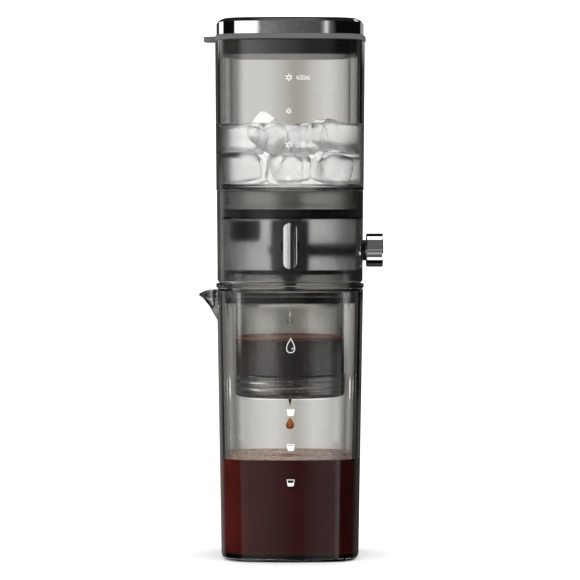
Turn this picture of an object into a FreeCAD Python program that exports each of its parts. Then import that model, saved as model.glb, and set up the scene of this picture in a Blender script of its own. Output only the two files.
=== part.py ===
"""Cold brew (slow drip) coffee maker, modelled in millimetres.

Frame: +Z up, origin on the axis of the tower at the underside of the carafe. -Y is the front, the
pouring spout points to -X and the flow knob to +X.

The tower is four things stacked on each other. A square-round carafe stands on the table. A round
brew cup with a screwed filter base hangs in its mouth. The water tank with its valve housing stands
on the flange of the brew cup, and a plug lid closes the tank. The tank's outlet pipe screws into the
valve body, which clamps tank, floor gasket and housing together, and the nozzle's hexagon clamps
the base plate from below. Ice melt leaves through the pipe and a strainer, passes an on-off tap
turned from the front, then a needle valve set by the knob on the right, and drips from the nozzle
onto the coffee.
"""

import FreeCAD, Part
from FreeCAD import Vector
import math
import os

os.makedirs("parts", exist_ok=True)

# ---------------------------------------------------------------- driving dimensions (mm)
# heights up the tower
CARAFE_TOP = 149.5          # rim of the carafe
CARAFE_FLOOR = 4.0          # inside floor of the carafe
COLLAR_TOP = 152.7          # top face of the brew cup's flange, which carries the tank assembly
HOUSING_BOTTOM = 153.7      # lower edge of the valve housing
PLATE_LOW, PLATE_TOP = 158.8, 161.1
DECK_LOW, DECK_TOP = 188.4, 190.2
GASKET_TOP = 194.6          # floor gasket between the deck and the tank's skirt
FLOOR_LOW, FLOOR_TOP = 203.2, 205.8   # the tank's floor
SEAM = 204.9                # joint line between housing and tank
TANK_TOP = 288.0
FLANGE_TOP = 291.0          # lid gasket's flange
LID_TOP = 300.0
PLUG_BOTTOM = 279.9

# half widths of the square-round sections, at mid side
CARAFE_A_LOW, CARAFE_A_TOP = 38.6, 41.1
CARAFE_IN_LOW, CARAFE_IN_TOP = 35.4, 38.3
HOUSING_A_LOW, HOUSING_A_TOP = 40.75, 41.15
HOUSING_WALL = 2.4
TANK_A_LOW, TANK_A_TOP = 41.4, 42.0
TANK_WALL = 2.6
LID_A = 41.25
GASKET_A = 42.5
FLANGE_A = 41.5
FACE_R, CORNER_R = 3.8, 0.405       # side crown and corner radius of an outer section, per half width
IN_FACE_R, IN_CORNER_R = 4.03, 0.356  # the same for the carafe's bore, parallel to its outside

# brew cup and filter base (round, screwed together)
CUP_R, CUP_BORE_R = 31.6, 29.3
NECK_R, NECK_BORE_R = 29.5, 27.7     # thread root and bore of the cup's neck
NECK_LOW, NECK_TOP = 93.4, 102.0
BASE_R, BASE_BORE_R = 32.0, 30.45    # outside and bore of the filter base
BASE_LOW, BASE_TOP = 89.7, 101.8
BOSS_R, BOSS_TOP, DISC_LOW = 27.2, 98.4, 98.6   # boss inside the neck, and the filter disc on it
DRAIN_R = 1.7
SHOULDER_LOW, SHOULDER_TOP = 142.6, 144.6

# valve
VALVE_R = 10.7
STEM_Z = 171.4              # axis of the flow knob and its needle, along X
TAP_Z = 174.6               # axis of the on-off tap, along Y
PLUG_R = 3.5
SLEEVE_R = 3.95
STEM_R = 2.6
NEEDLE_R = 1.25
ORIFICE_R = 1.0
FIT = 0.06                  # radial clearance of everything that turns in a bore
PIPE_R, PIPE_BORE_R = 6.8, 4.6       # the tank's outlet pipe
PIPE_LOW = 183.0
KNOB_R = 9.4
KNOB_X0, KNOB_X1 = 42.75, 52.25
HANDLE_W, HANDLE_H = 7.9, 25.0
HANDLE_Y0, HANDLE_Y1 = -41.7, -49.6

X, Y, Z = Vector(1, 0, 0), Vector(0, 1, 0), Vector(0, 0, 1)


# ---------------------------------------------------------------- helpers
def ring_wire(a, z, rf=None, rc=None):
    """Closed square-round outline: four crowned sides and four corner arcs, all tangent."""
    rf = FACE_R * a if rf is None else rf
    rc = CORNER_R * a if rc is None else rc
    k = a - rf
    # corner centre (c, c): its distance from a side's centre (0, k) is rf - rc
    b2, cc = -2.0 * k, k * k - (rf - rc) ** 2
    c = (-b2 + math.sqrt(b2 * b2 - 8.0 * cc)) / 4.0
    t = math.atan2(c, c - k)          # angle from +Y to the tangent point, at the side's centre
    px, py = rf * math.sin(t), k + rf * math.cos(t)
    d = c + rc * math.sqrt(0.5)
    edges = []
    for q in range(4):
        ang = q * math.pi / 2.0
        co, si = math.cos(ang), math.sin(ang)

        def turn(x, y):
            return Vector(x * co - y * si, x * si + y * co, z)

        edges.append(Part.Arc(turn(px, py), turn(0, a), turn(-px, py)).toShape())
        edges.append(Part.Arc(turn(-px, py), turn(-d, d), turn(-py, px)).toShape())
    return Part.Wire(edges)


def block(a0, z0, a1, z1, rf0=None, rc0=None, rf1=None, rc1=None, below=0.0, above=0.0):
    """Solid between two square-round outlines, carried on past both ends by below and above."""
    rf0, rf1 = FACE_R * a0 if rf0 is None else rf0, FACE_R * a1 if rf1 is None else rf1
    rc0, rc1 = CORNER_R * a0 if rc0 is None else rc0, CORNER_R * a1 if rc1 is None else rc1

    def end(z):
        return ring_wire(at_z(a0, a1, z0, z1, z), z, at_z(rf0, rf1, z0, z1, z), at_z(rc0, rc1, z0, z1, z))

    return Part.makeLoft([end(z0 - below), end(z1 + above)], True, True)


def prism(a, z0, z1, rf=None, rc=None):
    return Part.Face(ring_wire(a, z0, rf, rc)).extrude(Vector(0, 0, z1 - z0))


def cyl(r, p, axis, length):
    return Part.makeCylinder(r, length, Vector(*p), axis)


def tube(r0, r1, z0, z1):
    """Ring about the Z axis, r0 outside and r1 inside."""
    return cyl(r0, (0, 0, z0), Z, z1 - z0).cut(cyl(r1, (0, 0, z0 - 1), Z, z1 - z0 + 2))


def cone(r0, r1, z0, z1):
    return Part.makeCone(r0, r1, z1 - z0, Vector(0, 0, z0), Z)


def box(x0, x1, y0, y1, z0, z1):
    return Part.makeBox(x1 - x0, y1 - y0, z1 - z0, Vector(x0, y0, z0))


def hexagon(across, z0, z1):
    r = across / math.sqrt(3.0)
    pts = [Vector(r * math.cos(math.radians(60 * i)), r * math.sin(math.radians(60 * i)), z0) for i in range(7)]
    return Part.Face(Part.makePolygon(pts)).extrude(Vector(0, 0, z1 - z0))


def at_z(low, top, z0, z1, z):
    return low + (top - low) * (z - z0) / (z1 - z0)


def fillet(shape, radius, pick, label):
    edges = [e for e in shape.Edges if pick(e)]
    if not edges:
        print("no edges for", label)
        return shape
    try:
        out = shape.makeFillet(radius, edges)
        if out.isValid() and out.Volume > 0:
            return out
    except Exception as e:
        print("fillet skipped on", label, e)
    return shape


def chamfer(shape, size, pick, label):
    edges = [e for e in shape.Edges if pick(e)]
    try:
        out = shape.makeChamfer(size, edges)
        if out.isValid() and out.Volume > 0:
            return out
    except Exception as e:
        print("chamfer skipped on", label, e)
    return shape


def flat_at(z, tol=0.02):
    return lambda e: abs(e.BoundBox.ZMin - z) < tol and abs(e.BoundBox.ZMax - z) < tol


def x_at(x, tol=0.02):
    return lambda e: abs(e.BoundBox.XMin - x) < tol and abs(e.BoundBox.XMax - x) < tol


def y_at(y, tol=0.02):
    return lambda e: abs(e.BoundBox.YMin - y) < tol and abs(e.BoundBox.YMax - y) < tol


def save(name, shape):
    shape = shape.removeSplitter() if shape.ShapeType != "Compound" or len(shape.Solids) == 1 else shape
    if shape.ShapeType == "Compound" and len(shape.Solids) == 1:
        shape = shape.Solids[0]
    bad = [s for s in shape.Solids if not s.isValid() or s.Volume <= 0]
    b = shape.BoundBox
    print(
        "%-16s solids %d  volume %9.1f  z %6.1f %6.1f  %s"
        % (name, len(shape.Solids), shape.Volume, b.ZMin, b.ZMax, "BAD" if bad or not shape.Solids else "ok")
    )
    shape.exportStep("parts/%s.step" % name)
    return shape


# ---------------------------------------------------------------- carafe
# spout outline: how far the nose reaches at each height, and its half width at the wall
SPOUT = [
    (131.0, 40.2, 1.8),
    (133.4, 41.7, 3.2),
    (136.2, 43.3, 4.8),
    (139.9, 45.3, 6.6),
    (144.0, 48.6, 8.5),
    (147.2, 52.75, 9.8),
    (151.0, 59.5, 11.2),
]
SPOUT_WALL = 1.9
SPOUT_NOSE_R = 1.4
SPOUT_TOP_R = 16.5          # the spout's top edge falls away from the rim in this arc


def beak(inset, z_from, root):
    """Wedge-shaped prism of the spout, lofted upward. inset moves the nose and sides inward."""
    wires = []
    for z, tip, half in SPOUT:
        if z < z_from:
            continue
        tip, half = tip - inset * 1.15, half - inset
        nose = min(max(SPOUT_NOSE_R - inset * 0.35, 0.7), half * 0.6)
        x_end = -(tip - nose)
        a1, a2 = Vector(-root, -half, z), Vector(-root, half, z)
        b1, b2 = Vector(x_end, -nose, z), Vector(x_end, nose, z)
        wires.append(Part.Wire([
            Part.makeLine(a1, b1),
            Part.Arc(b1, Vector(-tip, 0, z), b2).toShape(),
            Part.makeLine(b2, a2),
            Part.makeLine(a2, a1),
        ]))
    return Part.makeLoft(wires, True, False)


def carafe():
    body = block(CARAFE_A_LOW, 0.0, CARAFE_A_TOP, CARAFE_TOP)
    body = fillet(body, 3.2, flat_at(0.0), "carafe foot")
    lip = beak(0.0, 0.0, 36.0).common(cyl(SPOUT_TOP_R, (-42.0, -20.0, CARAFE_TOP - SPOUT_TOP_R), Y, 40.0))
    bore = block(
        CARAFE_IN_LOW, CARAFE_FLOOR, CARAFE_IN_TOP, CARAFE_TOP,
        IN_FACE_R * CARAFE_IN_LOW, IN_CORNER_R * CARAFE_IN_LOW,
        IN_FACE_R * CARAFE_IN_TOP, IN_CORNER_R * CARAFE_IN_TOP, above=3.0,
    )
    bore = fillet(bore, 4.0, flat_at(CARAFE_FLOOR), "carafe bore floor")
    return body.fuse(lip).cut(bore).cut(beak(SPOUT_WALL, 133.0, 33.0))


save("carafe_shell", carafe())


def bore_params(z, d):
    """Half width, side radius and corner radius of the carafe's bore at height z, moved in by d."""
    a = at_z(CARAFE_IN_LOW, CARAFE_IN_TOP, CARAFE_FLOOR, CARAFE_TOP, z)
    return a - d, IN_FACE_R * a - d, IN_CORNER_R * a - d


def bore_prism(d, z0, z1, at=145.0):
    a, rf, rc = bore_params(at, d)
    return prism(a, z0, z1, rf, rc)


# ---------------------------------------------------------------- brew cup
def cup_body():
    flange = prism(FLANGE_A, 150.9, COLLAR_TOP)
    flange = fillet(flange, 0.5, flat_at(COLLAR_TOP), "flange top")
    under = block(39.9, CARAFE_TOP, FLANGE_A, 150.9)
    skirt = bore_prism(0.45, SHOULDER_LOW, CARAFE_TOP + 0.2)
    wall = cyl(CUP_R, (0, 0, NECK_TOP), Z, SHOULDER_TOP - NECK_TOP)
    wall = fillet(wall, 0.5, flat_at(NECK_TOP), "cup lower edge")
    neck = cyl(NECK_R, (0, 0, NECK_LOW), Z, NECK_TOP + 1 - NECK_LOW)
    solid = flange.fuse(under).fuse(skirt).fuse(wall).fuse(neck)
    socket = prism(37.0, 149.9, COLLAR_TOP + 1)
    well = bore_prism(3.1, SHOULDER_TOP, 150.3)
    bore = cyl(CUP_BORE_R, (0, 0, NECK_TOP + 2.5), Z, SHOULDER_TOP - NECK_TOP)
    taper = cone(NECK_BORE_R, CUP_BORE_R, NECK_TOP + 0.8, NECK_TOP + 2.5)
    low = cyl(NECK_BORE_R, (0, 0, NECK_LOW - 1), Z, NECK_TOP + 2 - NECK_LOW)
    groove = prism(60, 142.95, 146.2).cut(bore_prism(1.75, 142.95, 146.2))
    return solid.cut(socket).cut(well).cut(bore).cut(taper).cut(low).cut(groove)


save("cup_body", cup_body())

gasket = bore_prism(0.14, 142.98, 146.15, 142.95).cut(bore_prism(1.70, 142.9, 146.3))
waist = prism(60, 144.2, 145.0).cut(bore_prism(0.75, 144.1, 145.1, 142.95))
save("collar_gasket", gasket.cut(waist))


# ---------------------------------------------------------------- filter base
def filter_base():
    """Screw ring with a raised boss inside the cup's neck. The boss carries the filter disc and drains to a spout."""
    body = cyl(BASE_R, (0, 0, BASE_LOW), Z, BASE_TOP - BASE_LOW)
    body = fillet(body, 2.0, flat_at(BASE_LOW), "filter base foot")
    body = fillet(body, 0.4, flat_at(BASE_TOP), "filter base lip")
    out = body.cut(tube(BASE_BORE_R, BOSS_R, 91.5, 103.0)).cut(cyl(BOSS_R + 1.0, (0, 0, BOSS_TOP), Z, 10.0))
    out = out.cut(cone(2.4, 26.0, 97.5, BOSS_TOP + 0.01))                 # funnel on top of the boss
    recess = cyl(25.2, (0, 0, BASE_LOW - 1), Z, 95.7 - BASE_LOW + 1)
    out = out.cut(fillet(recess, 1.5, flat_at(95.7), "recess roof"))
    spout = cyl(3.4, (0, 0, BASE_LOW), Z, 96.0 - BASE_LOW)
    out = out.fuse(spout).cut(cyl(DRAIN_R, (0, 0, 88.0), Z, 12.0))
    ribs = tube(14.0, 13.2, 97.0, DISC_LOW).fuse(tube(21.0, 20.2, 97.0, DISC_LOW)).fuse(tube(7.0, 6.2, 97.0, DISC_LOW))
    ribs = ribs.fuse(tube(BOSS_R, 26.0, BOSS_TOP - 0.5, DISC_LOW))
    for k in range(6):     # ribs that carry the filter disc
        rib = box(4.0, 26.3, -0.5, 0.5, 97.0, DISC_LOW)
        rib.rotate(Vector(0, 0, 0), Z, 30 + 60 * k)
        ribs = ribs.fuse(rib)
    for k in range(6):     # gaps that let the coffee cross the rings
        gap = box(5.0, 24.0, -1.2, 1.2, 97.95, DISC_LOW + 1)
        gap.rotate(Vector(0, 0, 0), Z, 60 * k)
        ribs = ribs.cut(gap)
    return out.fuse(ribs)


save("filter_base", filter_base())
disc = cyl(BOSS_R, (0, 0, DISC_LOW), Z, 0.4)
save("filter_disc", disc)
save("filter_gasket", tube(BASE_BORE_R - 0.2, BOSS_R + 0.3, 91.5, NECK_LOW))


# ---------------------------------------------------------------- tank and valve housing
TRF, TRC = FACE_R * TANK_A_TOP, CORNER_R * TANK_A_TOP
HRF, HRC = FACE_R * HOUSING_A_TOP, CORNER_R * HOUSING_A_TOP
W = TANK_WALL
HW = HOUSING_WALL


def housing_a(z):
    return at_z(HOUSING_A_LOW, HOUSING_A_TOP, HOUSING_BOTTOM, SEAM, z)


def tank_shell():
    body = block(TANK_A_LOW, SEAM, TANK_A_TOP, TANK_TOP, TRF, TRC, TRF, TRC)
    body = fillet(body, 0.5, flat_at(SEAM), "tank seam")
    ha = housing_a(GASKET_TOP) - HW - 0.15
    tail = prism(ha, GASKET_TOP, SEAM + 0.5, HRF - HW - 0.15, HRC - HW - 0.15)
    tail = fillet(tail, 0.6, flat_at(GASKET_TOP), "tank skirt foot")
    inside = block(TANK_A_LOW - W, FLOOR_TOP, TANK_A_TOP - W, TANK_TOP, TRF - W, TRC - W, TRF - W, TRC - W, above=2.0)
    inside = fillet(inside, 3.2, flat_at(FLOOR_TOP), "tank floor")
    under = prism(ha - 2.4, GASKET_TOP - 1, FLOOR_LOW, HRF - HW - 2.55, HRC - HW - 2.55)
    under = fillet(under, 1.2, flat_at(FLOOR_LOW), "tank skirt roof")
    pipe = cyl(PIPE_R, (0, 0, PIPE_LOW), Z, FLOOR_LOW + 0.5 - PIPE_LOW)
    out = body.fuse(tail).cut(inside).cut(under).fuse(pipe)
    out = out.cut(cyl(PIPE_BORE_R, (0, 0, PIPE_LOW - 1), Z, FLOOR_TOP - PIPE_LOW + 2))
    return out.cut(cone(PIPE_BORE_R - 0.4, PIPE_BORE_R + 2.6, FLOOR_TOP - 2.0, FLOOR_TOP + 1.0))


save("tank_shell", tank_shell())


def housing_shell():
    body = block(HOUSING_A_LOW, HOUSING_BOTTOM, HOUSING_A_TOP, SEAM - 0.05, HRF, HRC, HRF, HRC)
    body = fillet(body, 1.3, flat_at(HOUSING_BOTTOM), "housing foot")
    lower = block(housing_a(HOUSING_BOTTOM) - HW, HOUSING_BOTTOM, housing_a(DECK_LOW) - HW, DECK_LOW,
                  HRF - HW, HRC - HW, HRF - HW, HRC - HW, below=2.0)
    upper = block(housing_a(DECK_TOP) - HW, DECK_TOP, HOUSING_A_TOP - HW, SEAM, HRF - HW, HRC - HW,
                  HRF - HW, HRC - HW, above=2.0)
    out = body.cut(lower).cut(upper)
    out = out.cut(cyl(PIPE_R + 0.15, (0, 0, DECK_LOW - 1), Z, 4))
    out = out.cut(cyl(SLEEVE_R + 0.05, (30, 0, STEM_Z), X, 20))
    return out.cut(cyl(3.85, (0, -30, TAP_Z), -Y, 20))


save("housing_shell", housing_shell())

slab = prism(housing_a(DECK_TOP) - HW - 0.15, DECK_TOP, GASKET_TOP, HRF - HW - 0.15, HRC - HW - 0.15)
save("floor_gasket", slab.cut(cyl(PIPE_R + 0.02, (0, 0, DECK_TOP - 1), Z, 8)))


def base_plate():
    a = HOUSING_A_LOW - HW - 0.15
    rf, rc = HRF - HW - 0.15, HRC - HW - 0.15
    plate = prism(a, PLATE_LOW, PLATE_TOP, rf, rc)
    skirt = prism(a, COLLAR_TOP, PLATE_LOW + 0.1, rf, rc).fuse(
        prism(36.8, 149.95, COLLAR_TOP + 0.1, 3.8 * 37.0 - 0.2, 0.405 * 37.0 - 0.2))
    skirt = fillet(skirt, 0.5, flat_at(149.95), "base spigot")
    out = plate.fuse(skirt).cut(prism(34.9, 149.0, PLATE_LOW, rf - 3.2, rc - 3.2))
    return out.cut(cyl(4.2, (0, 0, 157.0), Z, 6))


save("base_plate", base_plate())


# ---------------------------------------------------------------- valve
def valve_body():
    out = cyl(VALVE_R, (0, 0, PLATE_TOP), Z, DECK_LOW - PLATE_TOP)
    out = chamfer(out, 0.5, flat_at(PLATE_TOP), "valve body foot")
    out = out.cut(cyl(PIPE_R + 0.02, (0, 0, 182.2), Z, 20))                # takes the tank's pipe
    out = out.cut(cyl(6.0, (0, 0, 181.0), Z, 2))                           # space under the strainer
    out = out.cut(cyl(1.6, (0, -5.6, 168.3), Z, 13))                       # down past the tap
    out = out.cut(cyl(PLUG_R + FIT, (0, -2.3, TAP_Z), -Y, 12))             # the tap's bore
    out = out.cut(cyl(0.8, (0, -5.6, 169.6), X, 5.6))                      # across to the needle
    out = out.cut(cyl(0.9, (5.6, -6.4, 169.6), Y, 5.0))
    out = out.cut(cyl(2.9, (4.5, 0, STEM_Z), X, 10))                       # needle chamber
    out = out.cut(cyl(SLEEVE_R + 0.01, (6.5, 0, STEM_Z), X, 10))           # sleeve socket
    out = out.cut(cyl(ORIFICE_R, (-6.5, 0, STEM_Z), X, 11.1))              # orifice, drilled from the left
    out = out.cut(cyl(2.31, (-12, 0, STEM_Z), X, 5.5))                     # closed by the bore plug
    out = out.cut(cyl(2.0, (0, 0, 160.0), Z, STEM_Z + 0.9 - 160.0))        # down to the nozzle
    return out.cut(cyl(4.01, (0, 0, 160.0), Z, 5.4))                       # nozzle socket


save("valve_body", valve_body())

strainer = cyl(6.75, (0, 0, 182.2), Z, 0.8)
holes = [cyl(0.5, (r * math.cos(2 * math.pi * i / n), r * math.sin(2 * math.pi * i / n), 182), Z, 2)
         for r, n in ((0, 1), (1.7, 6), (3.4, 12)) for i in range(n)]
save("inlet_strainer", strainer.cut(Part.makeCompound(holes)))

head = fillet(cyl(2.45, (-12.0, 0, STEM_Z), X, 1.3), 0.5, x_at(-12.0), "bore plug")
save("bore_plug", head.fuse(cyl(2.3, (-10.8, 0, STEM_Z), X, 4.2)))

WALL_X = housing_a(STEM_Z)
WALL_Y = -housing_a(TAP_Z)


def stem_sleeve():
    s = cyl(SLEEVE_R, (6.55, 0, STEM_Z), X, WALL_X + 0.1 - 6.55)
    collar = cyl(5.85, (WALL_X + 0.07, 0, STEM_Z), X, 42.5 - WALL_X - 0.07)
    collar = chamfer(collar, 0.3, x_at(42.5), "sleeve collar")
    s = s.fuse(collar).cut(cyl(STEM_R + FIT, (12.0, 0, STEM_Z), X, 40))
    return s.cut(box(6.0, 12.5, -2.0, 2.0, STEM_Z - 2.0, STEM_Z + 2.0))


save("stem_sleeve", stem_sleeve())


def drip_nozzle():
    s = cyl(4.0, (0, 0, PLATE_LOW - 0.1), Z, 165.2 - PLATE_LOW + 0.1)
    nut = hexagon(12.6, 156.0, PLATE_LOW)
    nut = nut.common(cone(8.8, 6.1, 155.3, 158.0).fuse(cyl(8, (0, 0, 156.6), Z, 4)).fuse(cone(6.4, 7.2, 156.0, 156.7)))
    s = s.fuse(nut).fuse(cone(2.1, 4.6, 147.0, 156.1))
    return s.cut(cyl(1.2, (0, 0, 146.0), Z, 25))


save("drip_nozzle", drip_nozzle())

cover = box(-35.0, -16.2, -9.0, 9.0, 176.3, DECK_LOW)
cover = fillet(cover, 2.6, lambda e: flat_at(176.3)(e) or e.BoundBox.ZLength > 8, "vent cover")
save("vent_cover", cover.cut(box(-33.4, -17.8, -7.4, 7.4, 178.0, DECK_LOW + 1)))

# on-off tap: bush in the front wall, plug and its o-ring, handle
bush = cyl(3.8, (0, WALL_Y - 0.5, TAP_Z), Y, HW + 0.7)
bush = bush.fuse(cyl(5.2, (0, WALL_Y + HW + 0.15, TAP_Z), Y, 1.5))
save("tap_bush", bush.cut(cyl(2.3 + FIT, (0, WALL_Y - 2, TAP_Z), Y, 10)))


def tap_spindle():
    s = cyl(PLUG_R, (0, -2.5, TAP_Z), -Y, 8.1)
    s = s.fuse(cyl(2.3, (0, -10.4, TAP_Z), -Y, 36.1))
    s = s.fuse(cyl(4.2, (0, -35.2, TAP_Z), -Y, 1.2))                # stop collar behind the bush
    s = s.cut(cyl(1.5, (0, -5.6, TAP_Z - 6), Z, 12))                # waterway through the plug
    return s.cut(cyl(5, (0, -8.6, TAP_Z), -Y, 1.1).cut(cyl(2.5, (0, -8.0, TAP_Z), -Y, 3)))


save("tap_spindle", tap_spindle())
save("tap_oring", Part.makeTorus(3.02, 0.5, Vector(0, -9.15, TAP_Z), Y))


def stadium(w, h, y0, y1):
    r = w / 2.0
    s = h / 2.0 - r
    p = [Vector(-r, y0, TAP_Z - s), Vector(0, y0, TAP_Z - s - r), Vector(r, y0, TAP_Z - s),
         Vector(r, y0, TAP_Z + s), Vector(0, y0, TAP_Z + s + r), Vector(-r, y0, TAP_Z + s)]
    wire = Part.Wire([
        Part.Arc(p[0], p[1], p[2]).toShape(), Part.makeLine(p[2], p[3]),
        Part.Arc(p[3], p[4], p[5]).toShape(), Part.makeLine(p[5], p[0])])
    return Part.Face(wire).extrude(Vector(0, y1 - y0, 0))


handle = stadium(HANDLE_W, HANDLE_H, HANDLE_Y0, HANDLE_Y1)
handle = fillet(handle, 2.4, y_at(HANDLE_Y1), "tap handle front")
handle = fillet(handle, 0.4, y_at(HANDLE_Y0), "tap handle back")
save("tap_handle", handle.cut(cyl(2.3, (0, HANDLE_Y0 + 1, TAP_Z), -Y, 5.8)))


# flow knob, stem and needle
def flow_knob():
    k = cyl(KNOB_R, (KNOB_X0, 0, STEM_Z), X, KNOB_X1 - KNOB_X0)
    k = chamfer(k, 0.5, lambda e: e.BoundBox.XLength < 0.01, "knob")
    k = k.cut(cyl(STEM_R, (KNOB_X0 - 1, 0, STEM_Z), X, 7.6))
    return k.cut(cyl(1.5, (46.0, 1.5, STEM_Z), Y, 10))


save("flow_knob", flow_knob())
screw = cyl(1.5, (46.0, 2.6, STEM_Z), Y, 5.4)
key = [Vector(46.0 + 0.75 * math.cos(math.radians(60 * i)), 6.3, STEM_Z + 0.75 * math.sin(math.radians(60 * i)))
       for i in range(7)]
save("knob_screw", screw.cut(Part.Face(Part.makePolygon(key)).extrude(Vector(0, 3, 0))))


def knob_stem():
    s = cyl(STEM_R, (13.4, 0, STEM_Z), X, 49.3 - 13.4)
    s = s.cut(cyl(NEEDLE_R + FIT, (13.0, 0, STEM_Z), X, 9.2))
    for x in (30.0, 34.0):
        s = s.cut(cyl(4, (x - 0.45, 0, STEM_Z), X, 0.9).cut(cyl(1.93, (x - 1, 0, STEM_Z), X, 2.0)))
    return s.cut(box(44.0, 48.0, 2.6, 4.0, STEM_Z - 4, STEM_Z + 4))


save("knob_stem", knob_stem())
save("stem_orings", Part.makeCompound(
    [Part.makeTorus(2.298, 0.352, Vector(x, 0, STEM_Z), X) for x in (30.0, 34.0)]))

tip = Part.makeCone(0.3, 1.1, 3.3, Vector(2.4, 0, STEM_Z), X)
save("needle", tip.fuse(cyl(1.1, (5.7, 0, STEM_Z), X, 1.9)).fuse(
    box(7.5, 11.0, -1.9, 1.9, STEM_Z - 1.9, STEM_Z + 1.9)).fuse(cyl(NEEDLE_R, (10.9, 0, STEM_Z), X, 9.1)))


# ---------------------------------------------------------------- lid
def lid_cap():
    low = prism(LID_A, FLANGE_TOP, 297.8)
    low = low.fuse(block(LID_A, 297.8, LID_A - 1.0, 299.2)).fuse(block(LID_A - 1.0, 299.2, LID_A - 2.8, LID_TOP))
    return low.cut(prism(LID_A - 2.4, FLANGE_TOP - 1, 297.4, FACE_R * LID_A - 2.4, CORNER_R * LID_A - 2.4))


save("lid_cap", lid_cap())


def tank_ring(d, z0, z1):
    """Prism of the tank's bore at its mouth, moved in by d."""
    return prism(TANK_A_TOP - W - d, z0, z1, TRF - W - d, TRC - W - d)


def lid_gasket():
    g = prism(GASKET_A, TANK_TOP, FLANGE_TOP)
    g = fillet(g, 0.7, lambda e: e.BoundBox.ZLength < 0.01, "gasket rim")
    tab = box(-48.4, -30.0, -9.0, 9.0, TANK_TOP + 0.15, FLANGE_TOP - 0.15)
    tab = fillet(tab, 5.0, lambda e: e.BoundBox.ZLength > 2 and e.BoundBox.XMax < -45, "tab corners")
    tab = fillet(tab, 0.5, lambda e: e.BoundBox.ZLength < 0.01 and e.BoundBox.XMin < -40, "tab edges")
    g = g.fuse(tab).fuse(tank_ring(0.75, 280.6, TANK_TOP + 0.1))
    for z0 in (281.2, 283.6, 286.0):
        g = g.fuse(tank_ring(0.16, z0, z0 + 0.9))
    return g.cut(tank_ring(4.3, 280.0, FLANGE_TOP + 1)).cut(tank_ring(3.1, 280.0, 282.1))


save("lid_gasket", lid_gasket())


def lid_plug():
    p = tank_ring(3.15, PLUG_BOTTOM, 282.05)
    p = fillet(p, 0.6, flat_at(PLUG_BOTTOM), "plug foot")
    p = p.fuse(tank_ring(4.35, 282.0, FLANGE_TOP + 0.1)).fuse(
        prism(LID_A - 2.45, FLANGE_TOP + 0.02, 293.4, FACE_R * LID_A - 2.45, CORNER_R * LID_A - 2.45))
    return p.cut(tank_ring(6.8, 282.2, 300))


save("lid_plug", lid_plug())
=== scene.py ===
"""Looks of the slow-drip cold brew maker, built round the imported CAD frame."""
import bpy, math
import bmesh
import numpy as np
from mathutils import Vector, Matrix


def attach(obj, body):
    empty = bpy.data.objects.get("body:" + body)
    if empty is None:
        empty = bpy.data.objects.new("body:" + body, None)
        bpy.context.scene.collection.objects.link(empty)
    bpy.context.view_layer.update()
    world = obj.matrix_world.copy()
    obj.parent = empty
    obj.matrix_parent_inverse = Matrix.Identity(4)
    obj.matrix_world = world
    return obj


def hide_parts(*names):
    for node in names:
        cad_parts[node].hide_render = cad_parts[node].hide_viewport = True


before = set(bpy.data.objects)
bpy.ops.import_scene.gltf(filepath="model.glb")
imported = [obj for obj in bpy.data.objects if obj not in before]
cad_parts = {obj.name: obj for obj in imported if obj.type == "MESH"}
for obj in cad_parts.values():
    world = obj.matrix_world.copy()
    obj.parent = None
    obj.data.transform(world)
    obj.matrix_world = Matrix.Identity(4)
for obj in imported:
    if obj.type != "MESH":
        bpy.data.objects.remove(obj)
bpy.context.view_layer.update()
MM = 0.001
N = 192                                     # points round every square-round or round section
TH = np.arange(N) * 2.0 * math.pi / N


# ------------------------------------------------------------------ sections (mm), as in the CAD
def sq(a, rf, rc, th=TH):
    """Polar radius of a square-round outline: crowned sides of radius rf, corners of radius rc."""
    k = a - rf
    b2, cc = -2.0 * k, k * k - (rf - rc) ** 2
    c = (-b2 + math.sqrt(b2 * b2 - 8.0 * cc)) / 4.0
    t = math.atan2(c, c - k)
    lim = math.atan2(rf * math.sin(t), k + rf * math.cos(t))
    ph = np.abs((th + math.pi / 4) % (math.pi / 2) - math.pi / 4)
    s, co = np.sin(ph), np.cos(ph)
    side = k * co + np.sqrt(rf * rf - k * k * s * s)
    corner = c * (s + co) + np.sqrt(np.maximum(c * c * (s + co) ** 2 - 2 * c * c + rc * rc, 0))
    return np.where(ph <= lim, side, corner)


def outer(a, d=0.0):
    return sq(a - d, 3.8 * a - d, 0.405 * a - d)


def circ(r):
    return np.full(N, float(r))


TRF, TRC = 3.8 * 42.0, 0.405 * 42.0
HRF, HRC = 3.8 * 41.15, 0.405 * 41.15


def tank_sec(z, d=0.0):
    return sq(41.4 + 0.6 * (z - 204.9) / 83.1 - d, TRF - d, TRC - d)


def house_a(z):
    return 40.75 + 0.4 * (z - 153.7) / 51.2


def house_sec(z, d=0.0):
    return sq(house_a(z) - d, HRF - d, HRC - d)


def bore_sec(z, d=0.0, th=TH):
    a = 35.4 + 2.9 * (z - 4.0) / 145.5
    return sq(a - d, 4.03 * a - d, 0.356 * a - d, th)


def carafe_a(z):
    return 38.6 + 2.5 * z / 149.5


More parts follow.
